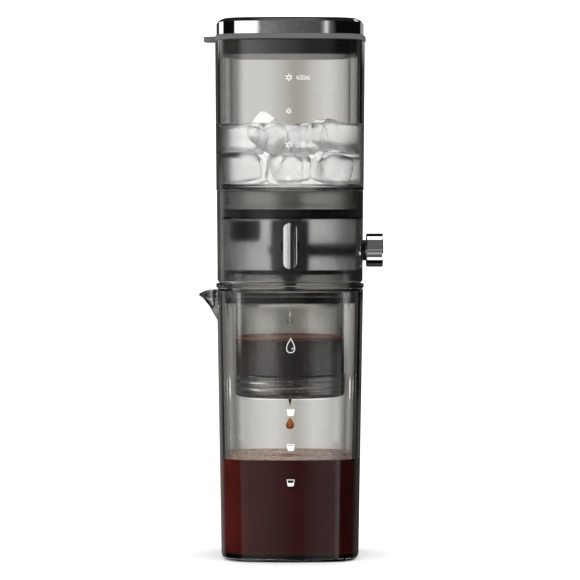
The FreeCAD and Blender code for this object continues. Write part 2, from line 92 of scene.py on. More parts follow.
# ------------------------------------------------------------------ mesh helpers
def rounded(points, seg=5, guard=0.14):
    """Stations round a loop of (radii, height, fillet radius): every corner with a radius becomes an arc."""
    p = [np.stack([np.broadcast_to(r, N), np.broadcast_to(np.asarray(z, float), N)], 1) for r, z, _ in points]
    out = []
    for i, (_, _, rho) in enumerate(points):
        u, v, w = p[i - 1], p[i], p[(i + 1) % len(p)]
        if rho <= 0:
            out.append(v)
            continue
        e1, e2 = u - v, w - v
        e1 = e1 / np.linalg.norm(e1, axis=1, keepdims=True)
        e2 = e2 / np.linalg.norm(e2, axis=1, keepdims=True)
        out.append(v + (rho + guard) * e1)
        for k in range(seg + 1):
            t = k / seg * math.pi / 2
            out.append(v + rho * (1 - math.sin(t)) * e1 + rho * (1 - math.cos(t)) * e2)
        out.append(v + (rho + guard) * e2)
    return out


def mesh_object(name, verts, faces, mat, body, sharp=32.0, fix=True):
    me = bpy.data.meshes.new(name)
    me.from_pydata([tuple(float(c) * MM for c in v) for v in verts], [], faces)
    me.update()
    if fix:
        bm = bmesh.new()
        bm.from_mesh(me)
        bmesh.ops.recalc_face_normals(bm, faces=bm.faces)
        bm.to_mesh(me)
        bm.free()
    me.polygons.foreach_set("use_smooth", [True] * len(me.polygons))
    me.set_sharp_from_angle(angle=math.radians(sharp))
    ob = bpy.data.objects.new(name, me)
    bpy.context.scene.collection.objects.link(ob)
    me.materials.append(mat)
    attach(ob, body)
    return ob


def lathe(name, stations, mat, body, closed=True, sharp=32.0, flags=None):
    """Closed ring of stations (torus-like), or, with closed False, a skin with a point at both ends."""
    n = len(stations)
    verts, faces = [], []
    c, s = np.cos(TH), np.sin(TH)
    for st in stations:
        verts += list(zip(st[:, 0] * c, st[:, 0] * s, st[:, 1]))
    rows = n if closed else n - 1
    for i in range(rows):
        j = (i + 1) % n
        for k in range(N):
            m = (k + 1) % N
            faces.append((i * N + k, i * N + m, j * N + m, j * N + k))
    if not closed:
        for st, row, flip in ((stations[0], 0, True), (stations[-1], n - 1, False)):
            verts.append((0.0, 0.0, float(st[:, 1].mean())))
            p = len(verts) - 1
            for k in range(N):
                m = (k + 1) % N
                faces.append((p, row * N + m, row * N + k) if flip else (p, row * N + k, row * N + m))
    ob = mesh_object(name, verts, faces, mat, body, sharp)
    if flags is not None:
        at = ob.data.attributes.new("inner", "FLOAT", "POINT")
        vals = np.zeros(len(ob.data.vertices), np.float32)
        vals[: n * N] = np.repeat(np.asarray(flags, np.float32), N)
        at.data.foreach_set("value", vals)
    return ob


# ------------------------------------------------------------------ materials
def nodes_of(name):
    mat = bpy.data.materials.new(name)
    mat.use_nodes = True
    nt = mat.node_tree
    nt.nodes.clear()
    out = nt.nodes.new("ShaderNodeOutputMaterial")
    b = nt.nodes.new("ShaderNodeBsdfPrincipled")
    nt.links.new(b.outputs[0], out.inputs["Surface"])
    return mat, nt, b, out


def noise(nt, scale, detail=3.0, rough=0.5, stretch=None):
    tc = nt.nodes.new("ShaderNodeTexCoord")
    src = tc.outputs["Object"]
    if stretch is not None:
        mp = nt.nodes.new("ShaderNodeMapping")
        mp.inputs["Scale"].default_value = stretch
        nt.links.new(src, mp.inputs["Vector"])
        src = mp.outputs["Vector"]
    n = nt.nodes.new("ShaderNodeTexNoise")
    n.inputs["Scale"].default_value = scale
    n.inputs["Detail"].default_value = detail
    n.inputs["Roughness"].default_value = rough
    nt.links.new(src, n.inputs["Vector"])
    return n.outputs["Fac"]


def ranged(nt, source, low, high, from_min=0.25, from_max=0.75):
    m = nt.nodes.new("ShaderNodeMapRange")
    m.inputs["From Min"].default_value = from_min
    m.inputs["From Max"].default_value = from_max
    m.inputs["To Min"].default_value = low
    m.inputs["To Max"].default_value = high
    nt.links.new(source, m.inputs["Value"])
    return m.outputs["Result"]


def bump(nt, b, source, distance, strength=1.0):
    n = nt.nodes.new("ShaderNodeBump")
    n.inputs["Distance"].default_value = distance
    n.inputs["Strength"].default_value = strength
    nt.links.new(source, n.inputs["Height"])
    nt.links.new(n.outputs["Normal"], b.inputs["Normal"])
    return n


def ramp(nt, source, stops):
    r = nt.nodes.new("ShaderNodeValToRGB")
    cr = r.color_ramp
    while len(cr.elements) > 1:
        cr.elements.remove(cr.elements[-1])
    cr.elements[0].position, cr.elements[0].color = stops[0][0], (*stops[0][1], 1)
    for p, c in stops[1:]:
        e = cr.elements.new(p)
        e.color = (*c, 1)
    nt.links.new(source, r.inputs["Fac"])
    return r.outputs["Color"]


def smoke(name, sigma, rough_out=0.01, rough_in=None, base=(1, 1, 1), wave=2.0e-5, ior=1.49, clear=1.0):
    """Clear tinted plastic. sigma: absorption per mm for red, green and blue."""
    mat, nt, b, out = nodes_of(name)
    b.inputs["Base Color"].default_value = (*base, 1)
    b.inputs["Transmission Weight"].default_value = clear
    b.inputs["IOR"].default_value = ior
    fine = noise(nt, 900.0, 2.0)
    if rough_in is None:
        nt.links.new(ranged(nt, fine, rough_out * 0.6, rough_out * 1.4), b.inputs["Roughness"])
    else:
        at = nt.nodes.new("ShaderNodeAttribute")
        at.attribute_name = "inner"
        nt.links.new(ranged(nt, at.outputs["Fac"], rough_out, rough_in, 0.0, 1.0), b.inputs["Roughness"])
    bump(nt, b, noise(nt, 55.0, 1.0, 0.4, (1, 1, 0.35)), wave)
    v = nt.nodes.new("ShaderNodeVolumeAbsorption")
    top = max(sigma) * 1.25
    v.inputs["Density"].default_value = top * 1000.0
    v.inputs["Color"].default_value = (*[1.0 - s / top for s in sigma], 1)
    nt.links.new(v.outputs["Volume"], out.inputs["Volume"])
    return mat


def metal(name, colour, rough, wear=0.35, scale=420.0, wave=0.0):
    mat, nt, b, out = nodes_of(name)
    b.inputs["Metallic"].default_value = 1.0
    n = noise(nt, scale, 4.0)
    nt.links.new(ranged(nt, n, rough * (1 - wear), rough * (1 + wear)), b.inputs["Roughness"])
    dark = tuple(c * 0.93 for c in colour)
    nt.links.new(ramp(nt, n, [(0.3, dark), (0.7, colour)]), b.inputs["Base Color"])
    if wave:
        bump(nt, b, noise(nt, 60.0, 1.0), wave)
    return mat


def moulded(name, colour, rough, grain=900.0, depth=1.2e-5, spread=0.18, specular=0.5, painted_shade_z=None):
    """Moulded plastic or silicone with a fine grain. Last argument: height (m) below which the colour is painted darker
    as shade, and how dark.
    """
    mat, nt, b, out = nodes_of(name)
    n = noise(nt, grain, 4.0, 0.6)
    big = noise(nt, 45.0, 2.0)
    low = tuple(c * (1 - spread) for c in colour)
    tone = ramp(nt, big, [(0.3, low), (0.7, colour)])
    # painted shade: darker below the given height
    if painted_shade_z:
        tc = nt.nodes.new("ShaderNodeTexCoord")
        xyz = nt.nodes.new("ShaderNodeSeparateXYZ")
        nt.links.new(tc.outputs["Object"], xyz.inputs[0])
        mix = nt.nodes.new("ShaderNodeMix")
        mix.data_type = "RGBA"
        nt.links.new(ranged(nt, xyz.outputs["Z"], 0.0, 1.0, painted_shade_z[0] - 1e-4, painted_shade_z[0] + 1e-4), mix.inputs["Factor"])
        mix.inputs["A"].default_value = (painted_shade_z[1], painted_shade_z[1], painted_shade_z[1], 1)
        nt.links.new(tone, mix.inputs["B"])
        tone = mix.outputs["Result"]
    nt.links.new(tone, b.inputs["Base Color"])
    nt.links.new(ranged(nt, n, rough * 0.85, rough * 1.15), b.inputs["Roughness"])
    b.inputs["Specular IOR Level"].default_value = specular
    bump(nt, b, n, depth)
    return mat


CLEAR = smoke("smoke_clear", (0.115, 0.118, 0.128), 0.012)
TANK = smoke("smoke_tank", (0.115, 0.118, 0.128), 0.012, 0.34)
CARAFE = smoke("smoke_carafe", (0.115, 0.118, 0.128), 0.012)
for mat, dark in ((TANK, 0.04), (CARAFE, 0.30)):             # painted shade: base colour darkened along the tank floor's fillet corners and at the carafe's spout tip
    nt = mat.node_tree
    at = nt.nodes.new("ShaderNodeAttribute")
    at.attribute_name = "painted_shade_mask"
    nt.links.new(ramp(nt, at.outputs["Fac"], [(0.0, (1, 1, 1)), (1.0, (dark, dark, dark))]),
                 next(n for n in nt.nodes if n.type == "BSDF_PRINCIPLED").inputs["Base Color"])
HOUSING = smoke("smoke_frosted", (0.150, 0.153, 0.160), 0.02, 0.26)
PLATE = smoke("smoke_plate", (0.150, 0.153, 0.160), 0.10)
CHROME_D = metal("dark_chrome", (0.74, 0.74, 0.75), 0.04)
CHROME_B = metal("satin_chrome", (0.88, 0.88, 0.87), 0.22, 0.2)
CHROME_H = metal("handle_chrome", (0.88, 0.88, 0.87), 0.075, 0.2)
BLACK_SIL = moulded("black_silicone", (0.004, 0.004, 0.004), 0.42, specular=0.12)
# painted shadow: the lid gasket is near black below the tank's rim, inside under the lid
GREY_SIL = moulded("grey_silicone", (0.115, 0.115, 0.115), 0.50, specular=0.3, painted_shade_z=(0.2880, 0.012))
BLACK_PL = moulded("black_plastic", (0.008, 0.008, 0.008), 0.30, specular=0.25)
PLUG_PL = moulded("plug_plastic", (0.060, 0.056, 0.040), 0.35, specular=0.2)
GREY_PL = moulded("grey_plastic", (0.16, 0.16, 0.165), 0.35)
VALVE = moulded("valve_plastic", (0.110, 0.110, 0.110), 0.28, specular=0.5)
STEEL = metal("steel", (0.62, 0.61, 0.60), 0.22, 0.3, 700.0)

# ------------------------------------------------------------------ carried-over CAD nodes
CAD_LOOK = {
    "collar_gasket": BLACK_SIL, "filter_gasket": BLACK_SIL, "floor_gasket": BLACK_SIL,
    "tap_oring": BLACK_SIL, "stem_orings": BLACK_SIL, "lid_gasket": GREY_SIL,
    "lid_plug": PLUG_PL, "valve_body": VALVE, "stem_sleeve": BLACK_PL, "tap_bush": BLACK_PL,
    "vent_cover": BLACK_PL, "drip_nozzle": BLACK_PL, "bore_plug": BLACK_PL, "tap_spindle": GREY_PL,
    "filter_disc": STEEL, "inlet_strainer": STEEL, "knob_screw": STEEL, "knob_stem": STEEL, "needle": STEEL,
    "lid_cap": CHROME_D, "flow_knob": CHROME_D,
}
for node, mat in CAD_LOOK.items():
    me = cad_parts[node].data
    me.materials.clear()
    me.materials.append(mat)

# ------------------------------------------------------------------ tank
W = 2.6
tail_a = house_a(194.6) - 2.55


def tail_sec(d=0.0):
    return sq(tail_a - d, HRF - 2.55 - d, HRC - 2.55 - d)


loop = [
    (circ(4.6), 183.0, 0.2, 0), (circ(4.6), 203.9, 0.0, 0), (circ(6.2), 205.3, 0.3, 0),
    (tank_sec(205.3, W), 205.3, 3.2, 0), (tank_sec(288.0, W), 288.0, 0.4, 0), (tank_sec(288.0), 288.0, 0.4, 0),
    (tank_sec(204.9), 204.9, 0.5, 0), (tail_sec(), 204.9, 0.0, 0), (tail_sec(), 194.6, 0.6, 1),
    (tail_sec(2.4), 194.6, 0.4, 1), (tail_sec(2.4), 204.5, 0.6, 1), (circ(6.8), 204.5, 0.2, 1), (circ(6.8), 183.0, 0.2, 1),
]
flags = [f for (_, _, rho, f) in loop for _ in range(8 if rho > 0 else 1)]
stations = rounded([p[:3] for p in loop])
tank = lathe("tank", stations, TANK, "dripper", flags=flags)
# painted shade: how dark each point of the floor's fillet is painted, deepest in the corners low at each side
shade = tank.data.attributes.new("painted_shade_mask", "FLOAT", "POINT")
vals = np.zeros(len(tank.data.vertices), np.float32)
for i in range(18, 25):
    st = stations[i]
    along = np.minimum(np.abs(st[:, 0] * np.cos(TH)), np.abs(st[:, 0] * np.sin(TH)))
    limit = 205.2 + 3.0 * np.clip((along - 9.0) / 22.0, 0, 1) ** 0.6
    vals[i * N:(i + 1) * N] = np.clip((limit - st[:, 1]) / 0.8 + 0.5, 0, 1) * np.clip((along - 9.0) / 5.0, 0, 1)
shade.data.foreach_set("value", vals)
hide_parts("tank_shell")

# ------------------------------------------------------------------ housing and its base plate
loop = [
    (house_sec(153.7), 153.7, 1.3, 0), (house_sec(204.85), 204.85, 0.35, 0),
    (house_sec(204.85, 2.4), 204.85, 0.3, 1), (house_sec(190.2, 2.4), 190.2, 0.2, 1),
    (circ(6.95), 190.2, 0.1, 0), (circ(6.95), 189.4, 0.1, 1),
    (house_sec(189.4, 2.4), 189.4, 0.3, 1), (house_sec(153.7, 2.4), 153.7, 0.3, 1),
]
flags = [f for (_, _, rho, f) in loop for _ in range(8 if rho > 0 else 1)]
housing = lathe("housing", rounded([p[:3] for p in loop]), HOUSING, "dripper", flags=flags)
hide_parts("housing_shell")


def plate_sec(d=0.0):
    return sq(38.2 - d, HRF - 2.55 - d, HRC - 2.55 - d)


spigot = sq(36.8, 3.8 * 37.0 - 0.2, 0.405 * 37.0 - 0.2)
plate = lathe("valve_plate", rounded([
    (plate_sec(), 161.1, 0.3), (circ(4.2), 161.1, 0.1), (circ(4.2), 158.8, 0.1), (plate_sec(3.3), 158.8, 0.5),
    (plate_sec(3.3), 149.95, 0.3), (spigot, 149.95, 0.5), (spigot, 152.7, 0.2), (plate_sec(), 152.7, 0.3),
]), PLATE, "dripper")
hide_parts("base_plate")

# ------------------------------------------------------------------ tap handle, crowned across its width
def stadium_ring(radius, spine, y):
    """Clockwise from the top: half circle round the upper centre, flank, half circle round the lower, flank."""
    pts = []
    for low_end in (False, True):
        for k in range(25):
            t = -math.pi / 2 + k / 24 * math.pi + (math.pi if low_end else 0.0)
            pts.append((radius * math.sin(t), y, 174.6 + (-spine if low_end else spine) + radius * math.cos(t)))
        side = -radius if low_end else radius
        for k in range(1, 12):
            z = spine * (1 - k / 6)
            pts.append((side, y, 174.6 + (-z if low_end else z)))
    return pts


verts, faces, m = [], [], 72
rings = [(3.55, -41.7), (3.86, -41.78), (3.95, -42.05), (3.95, -43.4)]
rings += [(3.95 * math.cos(t), None) for t in np.linspace(0.0, math.pi / 2 - 0.05, 18)]
for r, y in rings:
    verts += [(x, -46.6 - 3.0 * math.sqrt(max(1 - (x / 3.95) ** 2, 0.0)) if y is None else y, z) for x, _, z in stadium_ring(r, 8.55, 0.0)]
for i in range(len(rings) - 1):
    for k in range(m):
        j = (k + 1) % m
        faces.append((i * m + k, i * m + j, (i + 1) * m + j, (i + 1) * m + k))
verts.append((0.0, -41.7, 174.6))
faces += [(len(verts) - 1, (k + 1) % m, k) for k in range(m)]
last, mid_v = (len(rings) - 1) * m, len(verts)
verts += [(0.0, -49.6, 174.6 + 8.55 * (1 - k / 6)) for k in range(13)]      # crest line, top to bottom
for k in range(m):
    j = (k + 1) % m
    a_, b_ = [min(max(round((174.6 + 8.55 - verts[last + q][2]) / 8.55 * 6), 0), 12) for q in (k, j)]
    if a_ == b_:
        faces.append((last + k, last + j, mid_v + a_))
    else:
        faces.append((last + k, last + j, mid_v + b_, mid_v + a_))
handle = mesh_object("tap_lever", verts, faces, CHROME_H, "tap", sharp=50)
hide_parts("tap_handle")

# ------------------------------------------------------------------ brew cup, with its thread
PITCH = 4.0


def thread(z, root, height, phase, z0, z1):
    """Radii of a right-hand thread at height z: a rounded ridge that fades out towards both ends."""
    f = ((z - PITCH * (TH / (2 * math.pi)) + phase * PITCH) / PITCH) % 1.0
    ridge = np.clip(1.0 - np.abs(f - 0.5) / 0.24, 0.0, 1.0)
    ridge = ridge * ridge * (3 - 2 * ridge)
    fade = np.clip((z - z0) / 0.8, 0, 1) * np.clip((z1 - z) / 0.8, 0, 1)
    return root + height * ridge * fade


def rows(points, z_from, z_to, step, radii):
    n = max(2, int(abs(z_to - z_from) / step))
    return [np.stack([radii(z), np.full(N, z)], 1) for z in np.linspace(z_from, z_to, n)]


cup_top = rounded([
    (circ(29.3), 144.6, 0.6), (bore_sec(145, 3.1), 144.6, 0.5), (bore_sec(145, 3.1), 149.9, 0.2),
    (outer(37.0), 149.9, 0.2), (outer(37.0), 152.7, 0.3), (outer(41.5), 152.7, 0.5), (outer(41.5), 150.9, 0.35),
    (outer(39.9), 149.5, 0.3), (bore_sec(145, 0.45), 149.5, 0.0), (bore_sec(145, 0.45), 146.2, 0.1),
    (bore_sec(145, 1.75), 146.2, 0.0), (bore_sec(145, 1.75), 142.95, 0.0), (bore_sec(145, 0.45), 142.95, 0.0),
    (bore_sec(145, 0.45), 142.6, 0.15), (circ(31.6), 142.6, 0.8), (circ(31.6), 102.0, 0.5),
    (circ(29.5), 102.0, 0.0), (circ(29.5), 93.4, 0.4), (circ(27.7), 93.4, 0.3), (circ(27.7), 102.8, 0.0),
    (circ(29.3), 104.5, 0.6),
])
# the neck's outside runs between the step at 102.0 and the fillet at 93.4: the thread goes in there
start = next(i for i, s in enumerate(cup_top) if abs(s[0, 0] - 29.5) < 1e-6 and abs(s[0, 1] - 102.0) < 1e-6)
cup_stations = cup_top[:start + 1] + rows(None, 101.8, 93.9, 0.16, lambda z: thread(z, 29.5, 0.72, 0.0, 93.9, 101.8)) \
    + cup_top[start + 1:]
cup = lathe("brew_cup", cup_stations, CLEAR, "brew_cup")
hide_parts("cup_body")

# ------------------------------------------------------------------ filter base
ring = rounded([
    (circ(1.7), 89.7, 0.2), (circ(3.4), 89.7, 0.3), (circ(3.4), 95.7, 0.4), (circ(25.2), 95.7, 1.5), (circ(25.2), 89.7, 0.5),
    (circ(32.0), 89.7, 2.0), (circ(32.0), 101.8, 0.4), (circ(30.45), 101.8, 0.3), (circ(30.45), 91.5, 0.2),
    (circ(27.2), 91.5, 0.2), (circ(27.2), 98.6, 0.1), (circ(26.0), 98.6, 0.1), (circ(26.0), 98.35, 0.05),
    (circ(21.2), 98.22, 0.03), (circ(21.0), 98.6, 0.08), (circ(20.2), 98.6, 0.08), (circ(20.0), 98.18, 0.03),
    (circ(14.2), 98.0, 0.03), (circ(14.0), 98.6, 0.08), (circ(13.2), 98.6, 0.08), (circ(13.0), 97.95, 0.03),
    (circ(7.2), 97.75, 0.03), (circ(7.0), 98.6, 0.08), (circ(6.2), 98.6, 0.08), (circ(6.0), 97.7, 0.03),
    (circ(2.4), 97.5, 0.2), (circ(1.7), 97.3, 0.1),
], seg=4, guard=0.02)
start = max(i for i, s in enumerate(ring) if abs(s[0, 0] - 30.45) < 0.35 and s[0, 1] > 101.0)
ring_stations = ring[:start + 1] + rows(None, 101.2, 92.2, 0.16, lambda z: thread(z, 30.45, -0.66, 0.5, 93.6, 101.2)) \
    + ring[start + 1:]
fbase = lathe("collector_ring", ring_stations, CLEAR, "filter_base")
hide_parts("filter_base")

# ------------------------------------------------------------------ carafe with its spout
SPOUT = np.array([(131.0, 40.2, 1.8), (133.4, 41.7, 3.2), (136.2, 43.3, 4.8), (139.9, 45.3, 6.6),
                  (144.0, 48.6, 8.5), (147.2, 52.75, 9.8), (151.0, 59.5, 11.2)])
DELTA = np.abs((TH - math.pi + math.pi) % (2 * math.pi) - math.pi)      # angle from -X


def beak(z, inset=0.0, root=36.0):
    """Polar radius of the spout's wedge at heights z (one per angle), or 0 outside it."""
    z = np.broadcast_to(np.asarray(z, float), (N,))
    tip = np.interp(z, SPOUT[:, 0], SPOUT[:, 1]) - inset * 1.15
    half = np.interp(z, SPOUT[:, 0], SPOUT[:, 2]) - inset
    nose = np.minimum(np.maximum(1.4 - inset * 0.35, 0.7), np.maximum(half, 0.05) * 0.6)
    xe = tip - nose
    d = DELTA
    sn, cs = np.sin(d), np.cos(d)
    dx, dy = xe - root, nose - half
    s = (half * cs - root * sn) / np.where(np.abs(dx * sn - dy * cs) < 1e-9, 1e-9, dx * sn - dy * cs)
    side = (root + s * dx) / np.maximum(cs, 1e-3)
    arc = xe * cs + np.sqrt(np.maximum(nose * nose - (xe * sn) ** 2, 0))
    r = np.where(s > 1, arc, side)
    r = np.where((s < 0) | (d > 1.0) | (half <= 0.2), 0.0, r)
    return np.where(z < SPOUT[0, 0], 0.0, r)


def soft_max(a, b, k):
    h = np.clip(0.5 + 0.5 * (a - b) / k, 0, 1)
    return b + (a - b) * h + k * h * (1 - h)


def wall_out(z):
    z = np.broadcast_to(np.asarray(z, float), (N,))
    a = carafe_a(z)
    # the section scales with its half width, so one outline serves every height
    base = outer(1.0) * a
    fade = np.clip((z - 131.0) / 6.0, 0, 1)
    return soft_max(base, np.where(z < 131.0, 0.0, beak(z)), 0.15 + 1.2 * fade)


def wall_in(z):
    z = np.broadcast_to(np.asarray(z, float), (N,))
    a = 35.4 + 2.9 * (z - 4.0) / 145.5
    base = sq(1.0, 4.03, 0.356) * a
    cut = np.where(z < 133.0, 0.0, beak(z, 1.9, 33.0))
    return soft_max(base, cut, 0.15 + 1.0 * np.clip((z - 133.0) / 6.0, 0, 1))


def rim(radii_at):
    """Height of the rim at every angle: the spout's top edge falls away in an arc."""
    z = np.full(N, 149.5)
    for _ in range(30):
        x = radii_at(z) * np.cos(DELTA)
        top = np.where(x > 42.0, 133.0 + np.sqrt(np.maximum(16.5 ** 2 - (x - 42.0) ** 2, 0)), 149.5)
        top = np.where(DELTA < 0.7, top, 149.5)
        z = 0.5 * z + 0.5 * np.minimum(top, 149.5)
    return z


rim_out, rim_in = rim(wall_out), rim(wall_in)
foot = outer(38.6)
st = []
for k in range(6):                                       # outer foot, radius 1.6
    t = k / 5 * math.pi / 2
    z = 1.6 * (1 - math.sin(t))
    st.append(np.stack([outer(1.0) * carafe_a(z) - 1.6 * (1 - math.cos(t)), np.full(N, z)], 1))
st = st[::-1]
st.insert(0, np.stack([outer(38.6) - 2.0, np.zeros(N)], 1))
st.insert(0, np.stack([outer(38.6) * 0.5, np.zeros(N)], 1))
for z in (1.8, 20.0, 60.0, 100.0, 120.0, 128.0, 130.0):
    st.append(np.stack([wall_out(z), np.full(N, z)], 1))
for u in np.linspace(0, 1, 34)[1:]:
    z = 130.0 + u * (rim_out - 0.45 - 130.0)
    st.append(np.stack([wall_out(z), z], 1))
lip = 0.45
for k in range(1, 6):
    t = k / 5 * math.pi / 2
    z = rim_out - lip * (1 - math.sin(t))
    st.append(np.stack([wall_out(z) - lip * (1 - math.cos(t)), z], 1))
for k in range(0, 6):
    t = (5 - k) / 5 * math.pi / 2
    z = rim_in - lip * (1 - math.sin(t))
    st.append(np.stack([wall_in(z) + lip * (1 - math.cos(t)), z], 1))
for u in np.linspace(1, 0, 34)[1:]:
    z = 132.0 + u * (rim_in - lip - 132.0)
    st.append(np.stack([wall_in(z), z], 1))
for z in (128.0, 100.0, 60.0, 20.0, 5.6):
    st.append(np.stack([wall_in(z), np.full(N, z)], 1))
for k in range(0, 7):                                    # inner floor, radius 2
    t = k / 6 * math.pi / 2
    z = 3.4 + 2.0 * (1 - math.sin(t))
    st.append(np.stack([wall_in(z) - 2.0 * (1 - math.cos(t)), np.full(N, z)], 1))
st.append(np.stack([wall_in(3.4) - 2.4, np.full(N, 3.4)], 1))
st.append(np.stack([wall_in(3.4) * 0.5, np.full(N, 3.4)], 1))
carafe = lathe("carafe", st, CARAFE, "carafe", closed=False)
# painted shade: the spout tip's base colour darkened
shade = carafe.data.attributes.new("painted_shade_mask", "FLOAT", "POINT")
vals = np.array([min(max((-v.co.x / MM - 43.0) / 2.5, 0.0), 1.0) for v in carafe.data.vertices], np.float32)
shade.data.foreach_set("value", vals)

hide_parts("carafe_shell")

# ------------------------------------------------------------------ coffee in the carafe
COFFEE = moulded("coffee", (0.205, 0.0280, 0.0255), 0.05, 200.0, 0.0, 0.25, 0.03)
# painted reflection: the coffee's top is coloured light orange-beige, lightest towards the wall, in place of the light
# its surface mirrors; the coffee below is dark red-brown
PAINTED_SHEEN_COFFEE_TOP, nt, b, out = nodes_of("coffee_surface")
tc = nt.nodes.new("ShaderNodeTexCoord")
flat = nt.nodes.new("ShaderNodeVectorMath")
flat.operation = "MULTIPLY"
flat.inputs[1].default_value = (1.0, 1.0, 0.0)
nt.links.new(tc.outputs["Object"], flat.inputs[0])
far = nt.nodes.new("ShaderNodeVectorMath")
far.operation = "LENGTH"
nt.links.new(flat.outputs[0], far.inputs[0])
nt.links.new(ramp(nt, ranged(nt, far.outputs["Value"], 0.0, 1.0, 0.0, 0.040),
                  [(0.0, (0.62, 0.16, 0.09)), (0.30, (0.86, 0.38, 0.25)), (0.55, (0.93, 0.56, 0.42)), (1.0, (0.94, 0.62, 0.48))]),
             b.inputs["Base Color"])
nt.links.new(ranged(nt, noise(nt, 300.0), 0.22, 0.32), b.inputs["Roughness"])
b.inputs["Specular IOR Level"].default_value = 0.35
LEVEL = 56.0


def filled(bottom, top_z, sec, fillet, out_by=0.03):
    """Stations of what fills a vessel from its floor to a level, a touch larger than the bore."""
    rows_ = [np.stack([sec(bottom) * 0.45, np.full(N, bottom - out_by)], 1)]
    for k in range(7):
        t = (6 - k) / 6 * math.pi / 2
        z = bottom + fillet * (1 - math.sin(t)) - out_by
        rows_.append(np.stack([sec(z) - fillet * (1 - math.cos(t)) + out_by, np.full(N, z)], 1))
    for z in np.linspace(bottom + fillet + 0.4, top_z, 4):
        rows_.append(np.stack([sec(z) + out_by, np.full(N, z)], 1))
    return rows_


st = filled(3.4, LEVEL - 1.0, wall_in, 2.0)
st.append(np.stack([wall_in(LEVEL) + 0.03, np.full(N, LEVEL + 0.1)], 1))
st.append(np.stack([wall_in(LEVEL) - 0.6, np.full(N, LEVEL - 0.3)], 1))
st.append(np.stack([wall_in(LEVEL) * 0.3, np.full(N, LEVEL - 0.8)], 1))
coffee = lathe("coffee_in_carafe", st, COFFEE, "carafe", closed=False, sharp=60)

st = [np.stack([wall_in(LEVEL) * 0.3, np.full(N, LEVEL - 0.9)], 1), np.stack([wall_in(LEVEL) - 0.7, np.full(N, LEVEL - 0.4)], 1)]
edge = wall_in(LEVEL)
for u in np.linspace(0, 1, 110):
    r = edge * (1 - u)
    rm = r.mean()
    z = LEVEL + 0.45 * np.exp(-(edge - r) / 0.7) + 0.36 * math.cos(rm / 5.6 * 2 * math.pi) * math.exp(-(rm / 13.0) ** 2)
    if u < 0.99:
        st.append(np.stack([r + 0.02 * (1 - u), z], 1))
surface = lathe("coffee_surface", st, PAINTED_SHEEN_COFFEE_TOP, "carafe", closed=False, sharp=80)


# ------------------------------------------------------------------ round pieces: drops and the coffee bed
def turned(name, profile, mat, body, sharp=50.0):
    return lathe(name, [np.stack([circ(r), np.full(N, float(z))], 1) for r, z in profile], mat, body, closed=False, sharp=sharp)


def teardrop(top, bottom, radius):
    """Radius and height down a falling drop: a thin neck above a round belly."""
    out_, height = [], top - bottom
    for k in range(1, 28):
        t = k / 28 * math.pi
        r = radius * math.sin(t) * math.sin(t / 2) ** 1.4 * 1.26
        out_.append((max(r, 0.02), top - height * (1 - math.cos(t)) / 2))
    return out_


DROP = smoke("water_drop", (0.002, 0.002, 0.002), 0.03, base=(0.97, 0.97, 0.97), ior=1.16, clear=0.90)
AMBER = smoke("coffee_drop", (0.04, 0.30, 1.0), 0.03, base=(1.0, 0.62, 0.35), ior=1.22, clear=0.80)
turned("water_drop", teardrop(138.0, 129.3, 1.85), DROP, "brew_cup")
turned("falling_coffee_drop", teardrop(77.6, 70.6, 2.55), AMBER, "filter_base")
STREAM = moulded("coffee_stream", (0.10, 0.018, 0.010), 0.08, 300.0, 0.0, 0.3, 0.4)
turned("coffee_stream", [(1.45, 90.6), (1.45, 89.6), (1.2, 88.3), (0.85, 86.8), (0.5, 85.4), (0.2, 84.3), (0.04, 83.6)], STREAM, "filter_base")

GROUNDS, nt, b, out = nodes_of("coffee_grounds")
speck = noise(nt, 2600.0, 2.0, 0.7)
b.inputs["Roughness"].default_value = 0.75
b.inputs["Specular IOR Level"].default_value = 0.05
nt.links.new(ramp(nt, speck, [(0.38, (0.030, 0.011, 0.006)), (0.55, (0.090, 0.035, 0.021)), (0.72, (0.26, 0.105, 0.065))]),
             b.inputs["Base Color"])
bump(nt, b, speck, 2.5e-4)
# the wet top of the coffee bed: wet coffee's own reddish colour, brightened as painted light where little light reaches
# it
WET_TOP_BRIGHTENED = moulded("wet_grounds", (0.92, 0.30, 0.20), 0.55, 1500.0, 5e-5, 0.3, 0.03)
turned("coffee_grounds", [(3.0, 99.10), (27.0, 99.10), (27.66, 99.12), (27.73, 99.5), (27.73, 102.8), (28.6, 103.75), (29.33, 104.5),
                          (29.33, 112.0), (29.33, 121.6), (29.30, 121.9), (27.5, 121.6), (14.0, 121.5), (4.0, 121.4)], GROUNDS, "brew_cup")
turned("wet_coffee_top", [(6.0, 121.2), (29.0, 121.5), (29.33, 121.8), (29.34, 122.9), (29.28, 123.3), (28.4, 122.8), (20.0, 122.3),
                          (12.0, 122.2), (4.0, 122.15)], WET_TOP_BRIGHTENED, "brew_cup")

# ------------------------------------------------------------------ water and ice in the tank
WATER = smoke("water", (0.0008, 0.0006, 0.0005), 0.01, base=(0.985, 0.99, 0.99), ior=1.33)
WLEVEL = 241.7
st = filled(205.3, WLEVEL - 0.6, lambda z: tank_sec(z, W), 3.2)
edge = tank_sec(WLEVEL, W)
for u in np.linspace(0, 1, 40):
    r = edge * (1 - u)
    z = WLEVEL + 0.25 * np.exp(-(edge - r) / 0.5)
    if u < 0.98:
        st.append(np.stack([r + 0.03 * (1 - u), z], 1))
water = lathe("water_in_tank", st, WATER, "dripper", closed=False, sharp=80)

ICE, nt, b, out = nodes_of("ice")
b.inputs["Transmission Weight"].default_value = 0.97
b.inputs["IOR"].default_value = 1.015
cloud = noise(nt, 70.0, 4.0, 0.6)
nt.links.new(ramp(nt, cloud, [(0.36, (0.93, 0.93, 0.935)), (0.56, (1.0, 1.0, 1.0))]), b.inputs["Base Color"])
nt.links.new(ranged(nt, noise(nt, 120.0, 3.0, 0.6), 0.20, 0.60, 0.35, 0.65), b.inputs["Roughness"])
bump(nt, b, noise(nt, 260.0, 4.0, 0.6), 2.0e-4)


